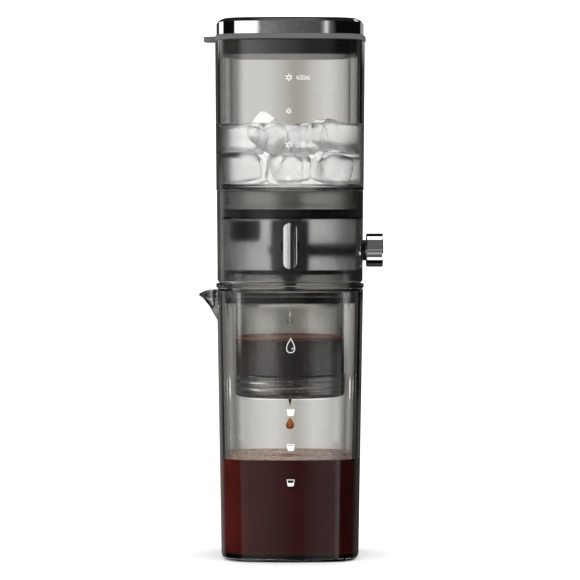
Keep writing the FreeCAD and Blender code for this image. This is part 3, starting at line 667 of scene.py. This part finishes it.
def ice_cube(verts, faces, centre, size, turn, seed, n=9):
    """Rounded, part-melted cube of n x n facets a side."""
    rng = np.random.default_rng(seed)
    dents = rng.normal(size=(5, 3))
    dents /= np.linalg.norm(dents, axis=1, keepdims=True)
    depth = rng.uniform(0.02, 0.09, 5)
    index = {}
    half = np.array(size) / 2
    for axis in range(3):
        for sign in (-1, 1):
            grid = []
            for i in range(n + 1):
                line = []
                for j in range(n + 1):
                    key = [0, 0, 0]
                    key[axis] = sign * n
                    key[(axis + 1) % 3] = 2 * i - n
                    key[(axis + 2) % 3] = 2 * j - n
                    key = tuple(key)
                    if key not in index:
                        p = np.array(key, float) / n
                        p = np.sign(p) * np.abs(np.sin(p * math.pi / 2)) ** 0.9
                        q = p / (np.sum(np.abs(p) ** 5.0) ** 0.2)          # superellipsoid: flat sides, round edges
                        u = q / np.linalg.norm(q)
                        q = q * (1 - sum(dp * max(0.0, float(u @ dn)) ** 6 for dp, dn in zip(depth, dents)))
                        v = turn @ Vector(q * half) + Vector(centre)
                        index[key] = len(verts)
                        verts.append(tuple(v))
                    line.append(index[key])
                grid.append(line)
            for i in range(n):
                for j in range(n):
                    f = (grid[i][j], grid[i + 1][j], grid[i + 1][j + 1], grid[i][j + 1])
                    faces.append(f if sign > 0 else f[::-1])


rng = np.random.default_rng(11)
verts, faces = [], []
# where the cubes lie: x, y, z, and how far each is turned (degrees) about X, Y and Z
CUBES = [
    (-26, -24, 218, 4, -8, 10), (-3, -26, 216, -6, 5, -14), (22, -25, 217, 8, 12, 20), (-12, -22, 236.2, 30, 36, 24),
    (10, -25, 233, -10, -14, -8), (28, -22, 235, 10, 16, 12), (-26, -1, 217, 3, 9, -22), (1, -1, 218, 7, -4, 8),
    (26, 2, 216, -5, 6, 15), (-24, 1, 234, 8, 10, 20), (-2, 3, 234, 8, -10, 34), (23, 1, 236, -12, 8, -16),
    (-21, 25, 217, 6, -9, 4), (5, 26, 216, -8, 7, 12), (27, 25, 218, 5, 4, -12), (-27, 22, 234, -6, 12, 10),
    (-6, 25, 235, 10, 8, -20), (18, 24, 234, -9, -12, 6),
]
for k, (x, y, z, ax, ay, aq) in enumerate(CUBES):
    size = [rng.uniform(19.0, 22.5), rng.uniform(18.0, 21.0), rng.uniform(14.5, 17.5)]
    turn = Matrix.Rotation(math.radians(aq), 3, "Z") @ Matrix.Rotation(math.radians(ay), 3, "Y") @ Matrix.Rotation(math.radians(ax), 3, "X")
    ice_cube(verts, faces, (x, y, z), size, turn, 100 + k)
for k, (x, y, z) in enumerate(verts):                        # melted flat where a cube leans on the wall or the floor
    z = max(z, 205.7)
    room = float(np.interp(math.atan2(y, x) % (2 * math.pi), TH, tank_sec(z, W), period=2 * math.pi)) - 0.35
    k_in = min(1.0, room / max(math.hypot(x, y), 1e-6))
    verts[k] = (x * k_in, y * k_in, z)
ice = mesh_object("ice_cubes", verts, faces, ICE, "dripper", sharp=60, fix=True)


# ------------------------------------------------------------------ printed marks: thin white pieces lying on the wall
PRINT = moulded("white_print", (0.93, 0.93, 0.93), 0.45, 800.0, 0.0, 0.02, 0.2)


def front_y(surface_a, x, z):
    """Y of the front wall's outside at x: the crowned side of a square-round section."""
    a, rf = surface_a(z)
    k = a - rf
    return -(k + math.sqrt(rf * rf - x * x))


def tank_face(z):
    return 41.4 + 0.6 * (z - 204.9) / 83.1, TRF


def carafe_face(z):
    return carafe_a(z), 3.8 * carafe_a(z)


def printed(name, outlines, face, body):
    """outlines: filled polygons as lists of (x, z) in mm, wound either way. Each becomes a closed slab 0.05 mm thick."""
    verts, faces = [], []
    for poly in outlines:
        n, base = len(poly), len(verts)
        area = sum(poly[i][0] * poly[(i + 1) % n][1] - poly[(i + 1) % n][0] * poly[i][1] for i in range(n))
        if area < 0:
            poly = poly[::-1]
        for off in (-0.03, 0.02):
            for x, z in poly:
                verts.append((x, front_y(face, x, z) - off, z))
        faces.append(tuple(base + n + i for i in range(n))[::-1])
        faces.append(tuple(base + i for i in range(n)))
        for i in range(n):
            j = (i + 1) % n
            faces.append((base + i, base + n + i, base + n + j, base + j))
    return mesh_object(name, verts, faces, PRINT, body, sharp=30)


def stroke(points, width, closed=False):
    """A drawn line as quads with mitred joints."""
    pts = [np.array(p, float) for p in points]
    n = len(pts)
    sides = []
    for i in range(n):
        a = pts[i - 1] if (i > 0 or closed) else pts[i]
        c = pts[(i + 1) % n] if (i < n - 1 or closed) else pts[i]
        d1, d2 = pts[i] - a, c - pts[i]
        d1 = d1 / np.linalg.norm(d1) if np.linalg.norm(d1) > 0 else d2 / np.linalg.norm(d2)
        d2 = d2 / np.linalg.norm(d2) if np.linalg.norm(d2) > 0 else d1
        nrm = np.array([-(d1 + d2)[1], (d1 + d2)[0]])
        nrm = nrm / np.linalg.norm(nrm)
        k = width / 2 / max(0.5, abs(float(nrm @ np.array([-d1[1], d1[0]]))))
        sides.append((pts[i] + nrm * k, pts[i] - nrm * k))
    quads = []
    for i in range(n if closed else n - 1):
        (a1, a2), (b1, b2) = sides[i], sides[(i + 1) % n]
        quads.append([tuple(a1), tuple(a2), tuple(b2), tuple(b1)])
    return quads


def snowflake(x, z, r):
    out_ = []
    for k in range(6):
        c, s_ = math.cos(math.radians(90 + 60 * k)), math.sin(math.radians(90 + 60 * k))
        out_ += stroke([(x + c * r * 0.30, z + s_ * r * 0.30), (x + c * r, z + s_ * r)], r * 0.25)
    return out_


GLYPH = {
    "4": ([[(0.42, 1.0), (0.0, 0.32), (1.0, 0.32)], [(0.74, 0.62), (0.74, 0.0)]], 1.0),
    "2": ([[(0.05, 0.78), (0.18, 0.97), (0.5, 1.0), (0.82, 0.93), (0.92, 0.72), (0.78, 0.5), (0.0, 0.0), (1.0, 0.0)]], 1.0),
    "0": ([[(0.5, 0.0), (0.12, 0.10), (0.0, 0.5), (0.12, 0.90), (0.5, 1.0), (0.88, 0.90), (1.0, 0.5), (0.88, 0.10), (0.5, 0.0)]], 1.0),
    "m": ([[(0.0, 0.0), (0.0, 0.66)], [(0.0, 0.55), (0.25, 0.66), (0.5, 0.55), (0.5, 0.0)], [(0.5, 0.55), (0.78, 0.66), (1.05, 0.55), (1.05, 0.0)]], 1.05),
    "l": ([[(0.0, 1.0), (0.0, 0.0)]], 0.0),
}


def words(text, x, z, height, width, gap=0.42):
    out_, scale = [], width
    for ch in text:
        lines, adv = GLYPH[ch]
        for line in lines:
            out_ += stroke([(x + px * scale, z + pz * height) for px, pz in line], height * 0.085)
        x += adv * scale + gap * scale
    return out_


marks = []
for z, r in ((266.7, 1.95), (248.4, 1.65), (229.9, 1.95), (211.6, 1.65)):
    marks += snowflake(-0.6, z, r)
marks += words("400ml", 3.55, 265.4, 2.55, 1.22)
marks += words("200ml", 3.55, 228.6, 2.55, 1.22)
printed("tank_marks", marks, tank_face, "dripper")

PX = 0.5486
drop_line = []
for k in range(40):
    t = k / 40 * 2 * math.pi
    w_ = math.sin(t) * math.sin(t / 2) ** 1.5
    drop_line.append((2.72 * w_ * 1.18, 119.85 + 4.0 * math.cos(t)))
carafe_marks = stroke(drop_line, 0.34, closed=True)
carafe_marks += stroke([(0.55, 117.7), (1.1, 118.0), (1.55, 118.65)], 0.42)


def tumbler(z_top, level):
    """Cup seen from the side: outline, and filled up to a share of its height."""
    top, low, h = 2.2, 1.62, 3.75
    z0 = z_top - h
    def half(z):
        return low + (top - low) * (z - z0) / h
    out_ = stroke([(-top + 0.2, z_top - 0.2), (-low + 0.2, z0 + 0.2), (low - 0.2, z0 + 0.2), (top - 0.2, z_top - 0.2)], 0.34, closed=True)
    zl = z0 + h * level
    out_.append([(-half(z0) + 0.2, z0 + 0.2), (half(z0) - 0.2, z0 + 0.2), (half(zl) - 0.25, zl), (-half(zl) + 0.25, zl)])
    return out_


carafe_marks += tumbler(84.8, 0.80) + tumbler(65.5, 0.74) + tumbler(45.9, 0.50)
carafe_marks = [[(x + 0.35, z) for x, z in poly] for poly in carafe_marks]
printed("carafe_marks", carafe_marks, carafe_face, "carafe")

# ------------------------------------------------------------------ camera
cam_data = bpy.data.cameras.new("camera")
cam = bpy.data.objects.new("camera", cam_data)
bpy.context.scene.collection.objects.link(cam)
cam_data.lens, cam_data.sensor_width = 180.0, 36.0
cam_data.clip_start, cam_data.clip_end = 0.05, 30.0
cam.location = (0.0, -1.631, 0.202)
cam.rotation_mode = "QUATERNION"
cam.rotation_quaternion = (Vector((0, 0, 0.1490)) - Vector(cam.location)).to_track_quat("-Z", "Y")
bpy.context.scene.camera = cam

# ------------------------------------------------------------------ floor, world and studio
WORLD = 1.45


def emission(name):
    mat = bpy.data.materials.new(name)
    mat.use_nodes = True
    nt = mat.node_tree
    nt.nodes.clear()
    out = nt.nodes.new("ShaderNodeOutputMaterial")
    e = nt.nodes.new("ShaderNodeEmission")
    e.inputs["Strength"].default_value = 1.0
    nt.links.new(e.outputs[0], out.inputs["Surface"])
    mat.cycles.emission_sampling = "NONE"
    return mat, nt, e


me = bpy.data.meshes.new("floor")
me.from_pydata([(-6, -6, 0), (6, -6, 0), (6, 6, 0), (-6, 6, 0)], [], [(0, 1, 2, 3)])
floor = bpy.data.objects.new("floor", me)
bpy.context.scene.collection.objects.link(floor)
floor_mat, nt, b, out = nodes_of("floor")
nt.links.new(ramp(nt, noise(nt, 3.0), [(0.3, (0.95, 0.95, 0.95)), (0.7, (0.97, 0.97, 0.97))]), b.inputs["Base Color"])
b.inputs["Roughness"].default_value = 0.9
b.inputs["Specular IOR Level"].default_value = 0.0
me.materials.append(floor_mat)
floor.location = (0, 0, -0.0002)
floor.visible_glossy = floor.visible_transmission = False

world = bpy.data.worlds.new("studio")
bpy.context.scene.world = world
world.use_nodes = True
world.node_tree.nodes["Background"].inputs["Color"].default_value = (1, 1, 1, 1)
world.node_tree.nodes["Background"].inputs["Strength"].default_value = WORLD


def only_for(ob, glossy=False, transmission=False):
    """Lighting card that only mirrored or only refracted rays meet."""
    ob.visible_camera = ob.visible_diffuse = ob.visible_shadow = ob.visible_volume_scatter = False
    ob.visible_glossy, ob.visible_transmission = glossy, transmission


def dome(name, radius):
    bm = bmesh.new()
    bmesh.ops.create_uvsphere(bm, u_segments=64, v_segments=32, radius=radius)
    me = bpy.data.meshes.new(name)
    bm.to_mesh(me)
    bm.free()
    ob = bpy.data.objects.new(name, me)
    bpy.context.scene.collection.objects.link(ob)
    mat, nt, e = emission(name)
    me.materials.append(mat)
    tc = nt.nodes.new("ShaderNodeTexCoord")
    nrm = nt.nodes.new("ShaderNodeVectorMath")
    nrm.operation = "NORMALIZE"
    nt.links.new(tc.outputs["Object"], nrm.inputs[0])
    sep = nt.nodes.new("ShaderNodeSeparateXYZ")
    nt.links.new(nrm.outputs[0], sep.inputs[0])

    def math_node(op, a, b=None):
        m = nt.nodes.new("ShaderNodeMath")
        m.operation = op
        for i, v in enumerate((a, b)):
            if v is None:
                continue
            if isinstance(v, (int, float)):
                m.inputs[i].default_value = v
            else:
                nt.links.new(v, m.inputs[i])
        return m.outputs[0]

    azimuth = math_node("ARCTAN2", sep.outputs["X"], math_node("MULTIPLY", sep.outputs["Y"], -1.0))
    az01 = ranged(nt, azimuth, 0.0, 1.0, -math.pi, math.pi)
    el01 = ranged(nt, math_node("ARCSINE", sep.outputs["Z"]), 0.0, 1.0, -math.pi / 2, math.pi / 2)
    return ob, nt, e, az01, el01, nrm.outputs[0]


def grey(v):
    return (v, v, v)


def around(nt, az01, stops):
    """Grey tones round the object. stops: degrees from the camera's side, positive to the right."""
    return ramp(nt, az01, [((d + 180.0) / 360.0, grey(v)) for d, v in stops])


def up(nt, el01, stops):
    return ramp(nt, el01, [((d + 90.0) / 180.0, grey(v)) for d, v in stops])


def blend(nt, factor, a, b):
    m = nt.nodes.new("ShaderNodeMix")
    m.data_type = "RGBA"
    nt.links.new(factor, m.inputs["Factor"])
    for sock, v in (("A", a), ("B", b)):
        if isinstance(v, tuple):
            m.inputs[sock].default_value = (*v, 1)
        else:
            nt.links.new(v, m.inputs[sock])
    return m.outputs["Result"]


def towards(nt, unit, axis, inner, outer_):
    """1 within inner degrees of a direction, 0 beyond outer degrees."""
    d = nt.nodes.new("ShaderNodeVectorMath")
    d.operation = "DOT_PRODUCT"
    nt.links.new(unit, d.inputs[0])
    d.inputs[1].default_value = Vector(axis).normalized()
    return ranged(nt, d.outputs["Value"], 0.0, 1.0, math.cos(math.radians(outer_)), math.cos(math.radians(inner)))


# what metal and glossy walls mirror: softboxes and black flags
refl, nt, e, az01, el01, unit = dome("mirror_dome", 4.0)
only_for(refl, glossy=True)
lid = around(nt, az01, [
    (-180, 0.05), (-158, 0.05), (-154, 1.5), (-118, 1.5), (-113, 0.004), (-58, 0.004), (-54, 1.7), (-14.5, 1.7),
    (-13, 0.24), (-6, 0.20), (0, 0.14), (13.9, 0.08), (14.7, 0.95), (16.2, 0.95), (17.0, 0.004), (150, 0.004), (156, 0.35),
    (168, 0.35), (174, 0.05), (180, 0.05)])
mid = around(nt, az01, [
    (-180, 0.02), (-155, 0.10), (-142, 0.55), (-126, 0.60), (-112, 0.15), (-98, 0.06), (-62, 0.03), (-24, 0.06), (-18, 0.30),
    (-14.6, 0.75), (-8.6, 0.66), (-3.9, 0.33), (2, 0.14), (5.6, 0.08), (13, 0.02), (172, 0.02), (180, 0.02)])
low = around(nt, az01, [
    (-180, 0.10), (-168, 0.18), (-140, 0.18), (-130, 0.02), (-110, 0.02), (-42, 0.02), (-40.5, 0.60), (-20, 0.50), (-10, 0.42), (-5, 0.30),
    (2, 0.12), (5, 0.12), (12, 0.42), (25, 0.55), (28, 1.0), (42, 1.1), (46, 0.02), (110, 0.02), (130, 0.10), (150, 0.10), (172, 0.03),
    (180, 0.02)])
cupr = around(nt, az01, [
    (-180, 0.10), (-165, 0.20), (-140, 0.20), (-130, 0.04), (-110, 0.02), (-49, 0.02), (-43, 4.5), (-37, 4.5), (-30, 0.05),
    (-20, 0.10), (-15, 0.40), (-8, 0.50), (-4, 0.30), (5, 0.10), (10, 0.05), (45, 0.05), (53, 3.2), (68, 2.6), (80, 0.03), (110, 0.02), (180, 0.02)])
tankr = around(nt, az01, [
    (-180, 0.02), (-165, 0.05), (-120, 0.08), (-62, 0.08), (-40, 0.3), (-26, 1.8), (-20, 2.8), (-14.6, 2.6), (-8.6, 1.7), (-3.9, 1.1),
    (2, 0.65), (5.6, 0.45), (16, 0.40), (22, 0.05), (150, 0.02), (180, 0.02)])
foot = around(nt, az01, [
    (-180, 0.3), (-110, 2.5), (-60, 5.5), (-30, 6.0), (-12, 5.4), (-3, 3.8), (0.5, 0.45), (6.5, 0.45), (9, 2.4), (20, 2.2), (33, 2.2),
    (60, 4.5), (90, 5.2), (112, 0.5), (180, 0.3)])
high = around(nt, az01, [(-180, 0.02), (-40, 0.02), (-25, 0.14), (25, 0.14), (40, 0.02), (180, 0.02)])
tone = blend(nt, up(nt, el01, [(2.95, 0), (3.1, 1)]), mid, tankr)
tone = blend(nt, up(nt, el01, [(6.9, 0), (7.02, 1)]), tone, lid)
tone = blend(nt, up(nt, el01, [(12, 0), (18, 1)]), tone, high)
tone = blend(nt, up(nt, el01, [(-0.7, 1), (-0.5, 0)]), tone, cupr)
tone = blend(nt, up(nt, el01, [(-30, 0), (-26, 1), (-3.3, 1), (-2.9, 0)]), tone, low)
tone = blend(nt, up(nt, el01, [(-28, 0), (-25, 1), (-10.7, 1), (-10.1, 0)]), tone, foot)
tone = blend(nt, up(nt, el01, [(-34, 1), (-28, 0)]), tone, lid)
tone = blend(nt, towards(nt, unit, (0, -math.cos(math.radians(58)), -math.sin(math.radians(58))), 10, 12), tone, grey(1.7))
tone = blend(nt, towards(nt, unit, (0, -0.01, -1), 16, 18), tone, grey(0.004))
sep = nt.nodes.new("ShaderNodeSeparateXYZ")
nt.links.new(unit, sep.inputs[0])
off = nt.nodes.new("ShaderNodeMath")
off.operation = "ABSOLUTE"
nt.links.new(sep.outputs["X"], off.inputs[0])
strip_up = nt.nodes.new("ShaderNodeMath")
strip_up.operation = "MULTIPLY"
nt.links.new(towards(nt, unit, (0, math.sin(math.radians(6)), math.cos(math.radians(6))), 15, 17.5), strip_up.inputs[0])
nt.links.new(ranged(nt, off.outputs[0], 1.0, 0.0, 0.09, 0.12), strip_up.inputs[1])
tone = blend(nt, strip_up.outputs[0], tone, grey(2.0))
tone = blend(nt, towards(nt, unit, (0, 0.62, 0.78), 16, 20), tone, grey(0.004))
tone = blend(nt, towards(nt, unit, (0.55, 0.66, 0.50), 9, 13), tone, grey(0.8))
nt.links.new(tone, e.inputs["Color"])

# two small reflectors beside the handle
for name, x, y0, y1, bright in (("handle_card_left", -0.0140, -0.0430, -0.0760, (0.95, 0.55)), ("handle_card_right", 0.0102, -0.0424, -0.0462, (0.8, 0.8))):
    me = bpy.data.meshes.new(name)
    me.from_pydata([(x, y0, 0.156), (x, y1, 0.156), (x, y1, 0.193), (x, y0, 0.193)], [], [(0, 1, 2, 3)])
    strip = bpy.data.objects.new(name, me)
    bpy.context.scene.collection.objects.link(strip)
    only_for(strip, glossy=True)
    strip_mat, nt, e = emission(name)
    me.materials.append(strip_mat)
    tc = nt.nodes.new("ShaderNodeTexCoord")
    sep = nt.nodes.new("ShaderNodeSeparateXYZ")
    nt.links.new(tc.outputs["Object"], sep.inputs[0])
    nt.links.new(ramp(nt, ranged(nt, sep.outputs["Y"], 0.0, 1.0, y1, y0), [(0.0, (bright[1],) * 3), (1.0, (bright[0],) * 3)]), e.inputs["Color"])

# what is seen through the walls: a white room, darker towards the camera
thru, nt, e, az01, el01, unit = dome("glass_dome", 3.9)
only_for(thru, transmission=True)
tone = around(nt, az01, [
    (-180, 1.2), (-165, 1.2), (-155, 0.32), (-120, 0.30), (-92, 0.40), (-84, 0.60), (-62, 0.50), (-52, 0.3), (-34, 0.14), (-7, 0.12), (-4, 0.5),
    (4, 0.5), (7, 0.06), (70, 0.05), (84, 0.06), (88, 0.20), (93, 0.20), (98, 0.06), (130, 0.06), (140, 0.05), (155, 0.08), (165, 1.2), (180, 1.2)])
round_cup = around(nt, az01, [
    (-180, 1.2), (-165, 1.2), (-155, 0.32), (-120, 0.30), (-100, 0.40), (-90, 1.0), (-75, 2.4), (-60, 4.4), (-46, 5.6), (-34, 4.8), (-24, 2.2),
    (-18, 1.1), (-7, 0.3), (-4, 0.5), (4, 0.5), (8, 0.15), (20, 0.5), (34, 1.3), (46, 3.0), (55, 3.7), (70, 3.3), (87, 2.5), (98, 0.8),
    (112, 0.15), (130, 0.06), (155, 0.08), (165, 1.2), (180, 1.2)])
in_house = around(nt, az01, [
    (-180, 1.0), (-165, 1.0), (-155, 0.30), (-120, 0.26), (-92, 0.30), (-84, 0.45), (-62, 0.40), (-52, 0.3), (-34, 0.14), (-7, 0.12), (-4, 0.5),
    (4, 0.5), (7, 0.06), (70, 0.03), (98, 0.03), (130, 0.02), (158, 0.03), (168, 0.25), (174, 1.0), (180, 1.0)])
tone = blend(nt, up(nt, el01, [(-3.4, 0), (-3.0, 1), (-0.8, 1), (-0.4, 0)]), tone, round_cup)
tone = blend(nt, up(nt, el01, [(-0.3, 0), (-0.1, 1), (2.9, 1), (3.1, 0)]), tone, in_house)
tone = blend(nt, up(nt, el01, [(-50, 1), (-25, 0)]), tone, grey(0.6))
tone = blend(nt, up(nt, el01, [(45, 0), (62, 1)]), tone, grey(3.6))
tone = blend(nt, towards(nt, unit, (-0.74, -0.20, 0.64), 14, 28), tone, grey(11.0))
nt.links.new(tone, e.inputs["Color"])

# backlight: a card close behind, graded from side to side, brightest behind the ice
me = bpy.data.meshes.new("backlight")
me.from_pydata([(-0.25, 0.5, 0.0), (0.25, 0.5, 0.0), (0.25, 0.5, 0.5), (-0.25, 0.5, 0.5)], [], [(0, 1, 2, 3)])
card = bpy.data.objects.new("backlight", me)
bpy.context.scene.collection.objects.link(card)
only_for(card, transmission=True)
card_mat, nt, e = emission("backlight")
me.materials.append(card_mat)
tc = nt.nodes.new("ShaderNodeTexCoord")
sep = nt.nodes.new("ShaderNodeSeparateXYZ")
nt.links.new(tc.outputs["Object"], sep.inputs[0])
across = ranged(nt, sep.outputs["X"], 0.0, 1.0, -0.25, 0.25)


def graded(stops):
    return ramp(nt, across, [((x + 250.0) / 500.0, c if isinstance(c, tuple) else grey(c)) for x, c in stops])


tank_light = graded([(-250, 0.3), (-135, 0.25), (-72, 0.50), (-50, 0.92), (-36, 1.05), (-27, 1.02), (-15, 1.08), (-6, (0.88, 0.86, 0.82)),
                     (3, (0.66, 0.62, 0.57)), (10, (0.76, 0.73, 0.69)), (16, (1.02, 1.01, 0.99)), (27, 1.25), (52, 1.0), (148, 0.38),
                     (176, 0.12), (250, 0.1)])
house_light = graded([(-250, 0.3), (-105, 0.08), (-60, 0.25), (-41, 0.24), (-34, 0.16), (-28, 0.5), (-21, 0.78), (24, 0.72), (30, 0.5),
                      (35, 0.2), (40, 0.05), (60, 0.02), (250, 0.01)])
cup_light = graded([(-250, 0.3), (-130, 0.38), (-84, 0.72), (-40, 0.86), (-26, 0.76), (-18, 0.68), (-11, 0.58), (-4, 0.58),
                    (8, (0.60, 0.57, 0.54)), (15, (0.64, 0.61, 0.58)), (20, 0.76), (24, 0.94), (31, 1.0), (50, 0.80), (62, 0.74), (156, 0.5),
                    (200, 0.32), (250, 0.3)])
collar_light = graded([(-250, 0.2), (-75, 0.15), (-71, 0.03), (-50, 0.05), (-40, 1.0), (-20, 1.7), (0, 1.2), (30, 1.2), (42, 0.6),
                       (60, 0.2), (75, 0.08), (250, 0.05)])
ring_light = graded([(-250, 0.3), (-62, 0.5), (-42, 0.6), (-32, 1.0), (-26, 3.6), (-20, 4.6), (0, 5.0), (24, 4.4), (31, 1.0), (62, 0.5),
                     (250, 0.1)])
carafe_light = graded([(-250, 0.3), (-105, 0.5), (-33, 1.05), (-20, 1.34), (-12, 1.40), (-5, 1.20), (4, (0.92, 0.90, 0.85)), (10, 1.10),
                       (17, 1.36), (25, 1.24), (31, 1.05), (42, 0.90), (56, 0.80), (116, 0.55), (161, 0.35), (250, 0.2)])
ice_light = graded([(-250, 0.4), (-120, 1.4), (-60, 2.1), (-20, 2.2), (20, 2.2), (60, 2.0), (90, 1.3), (120, 0.5), (200, 0.12), (250, 0.1)])
sump_light = graded([(-250, 0.1), (-105, 0.03), (-60, 0.10), (-47, 0.35), (-38, 0.8), (-26, 1.5), (-8, 2.3), (8, 2.3), (28, 1.4), (45, 0.6),
                     (60, 0.15), (117, 0.02), (250, 0.01)])
flange_light = graded([(-250, 0.1), (-60, 0.1), (-40, 0.5), (-26, 1.0), (-12, 4.2), (-4, 5.6), (8, 5.4), (18, 3.6), (26, 1.0), (36, 0.3), (50, 0.1), (250, 0.05)])


def above(z, soft=0.003):
    return ranged(nt, sep.outputs["Z"], 0.0, 1.0, z - soft, z + soft)


def calc(op, a, b=None):
    m = nt.nodes.new("ShaderNodeMath")
    m.operation = op
    for i, v in enumerate((a, b)):
        if v is None:
            continue
        if isinstance(v, (int, float)):
            m.inputs[i].default_value = v
        else:
            nt.links.new(v, m.inputs[i])
    return m.outputs[0]


tone = blend(nt, above(0.052, 0.002), carafe_light, ring_light)
tone = blend(nt, above(0.066, 0.002), tone, cup_light)
tone = blend(nt, above(0.119, 0.002), tone, collar_light)
tone = blend(nt, above(0.1315, 0.001), tone, flange_light)
tone = blend(nt, above(0.1386, 0.001), tone, house_light)
tone = blend(nt, above(0.1862, 0.001), tone, sump_light)
tone = blend(nt, above(0.2055, 0.001), tone, ice_light)
side = calc("POWER", ranged(nt, calc("ABSOLUTE", sep.outputs["X"]), 0.0, 1.0, 0.010, 0.050), 0.7)     # dark lens low at each side
rise = calc("SUBTRACT", sep.outputs["Z"], calc("ADD", calc("MULTIPLY", side, 0.0044), 0.2060))
lens = calc("MULTIPLY", ranged(nt, rise, 1.0, 0.0, -0.0004, 0.0006), above(0.2050, 0.0005))
tone = blend(nt, calc("MULTIPLY", lens, ranged(nt, side, 0.0, 1.0, 0.02, 0.2)), tone, grey(0.10))
tone = blend(nt, above(0.2545, 0.001), tone, tank_light)
nt.links.new(tone, e.inputs["Color"])

# ------------------------------------------------------------------ render settings
sc = bpy.context.scene
sc.view_settings.view_transform = "Standard"
sc.cycles.use_denoising = True
sc.cycles.max_bounces = 26
sc.cycles.transmission_bounces = 22
sc.cycles.glossy_bounces = 8
sc.cycles.transparent_max_bounces = 16
sc.cycles.sample_clamp_indirect = 6.0
sc.cycles.blur_glossy = 0.3
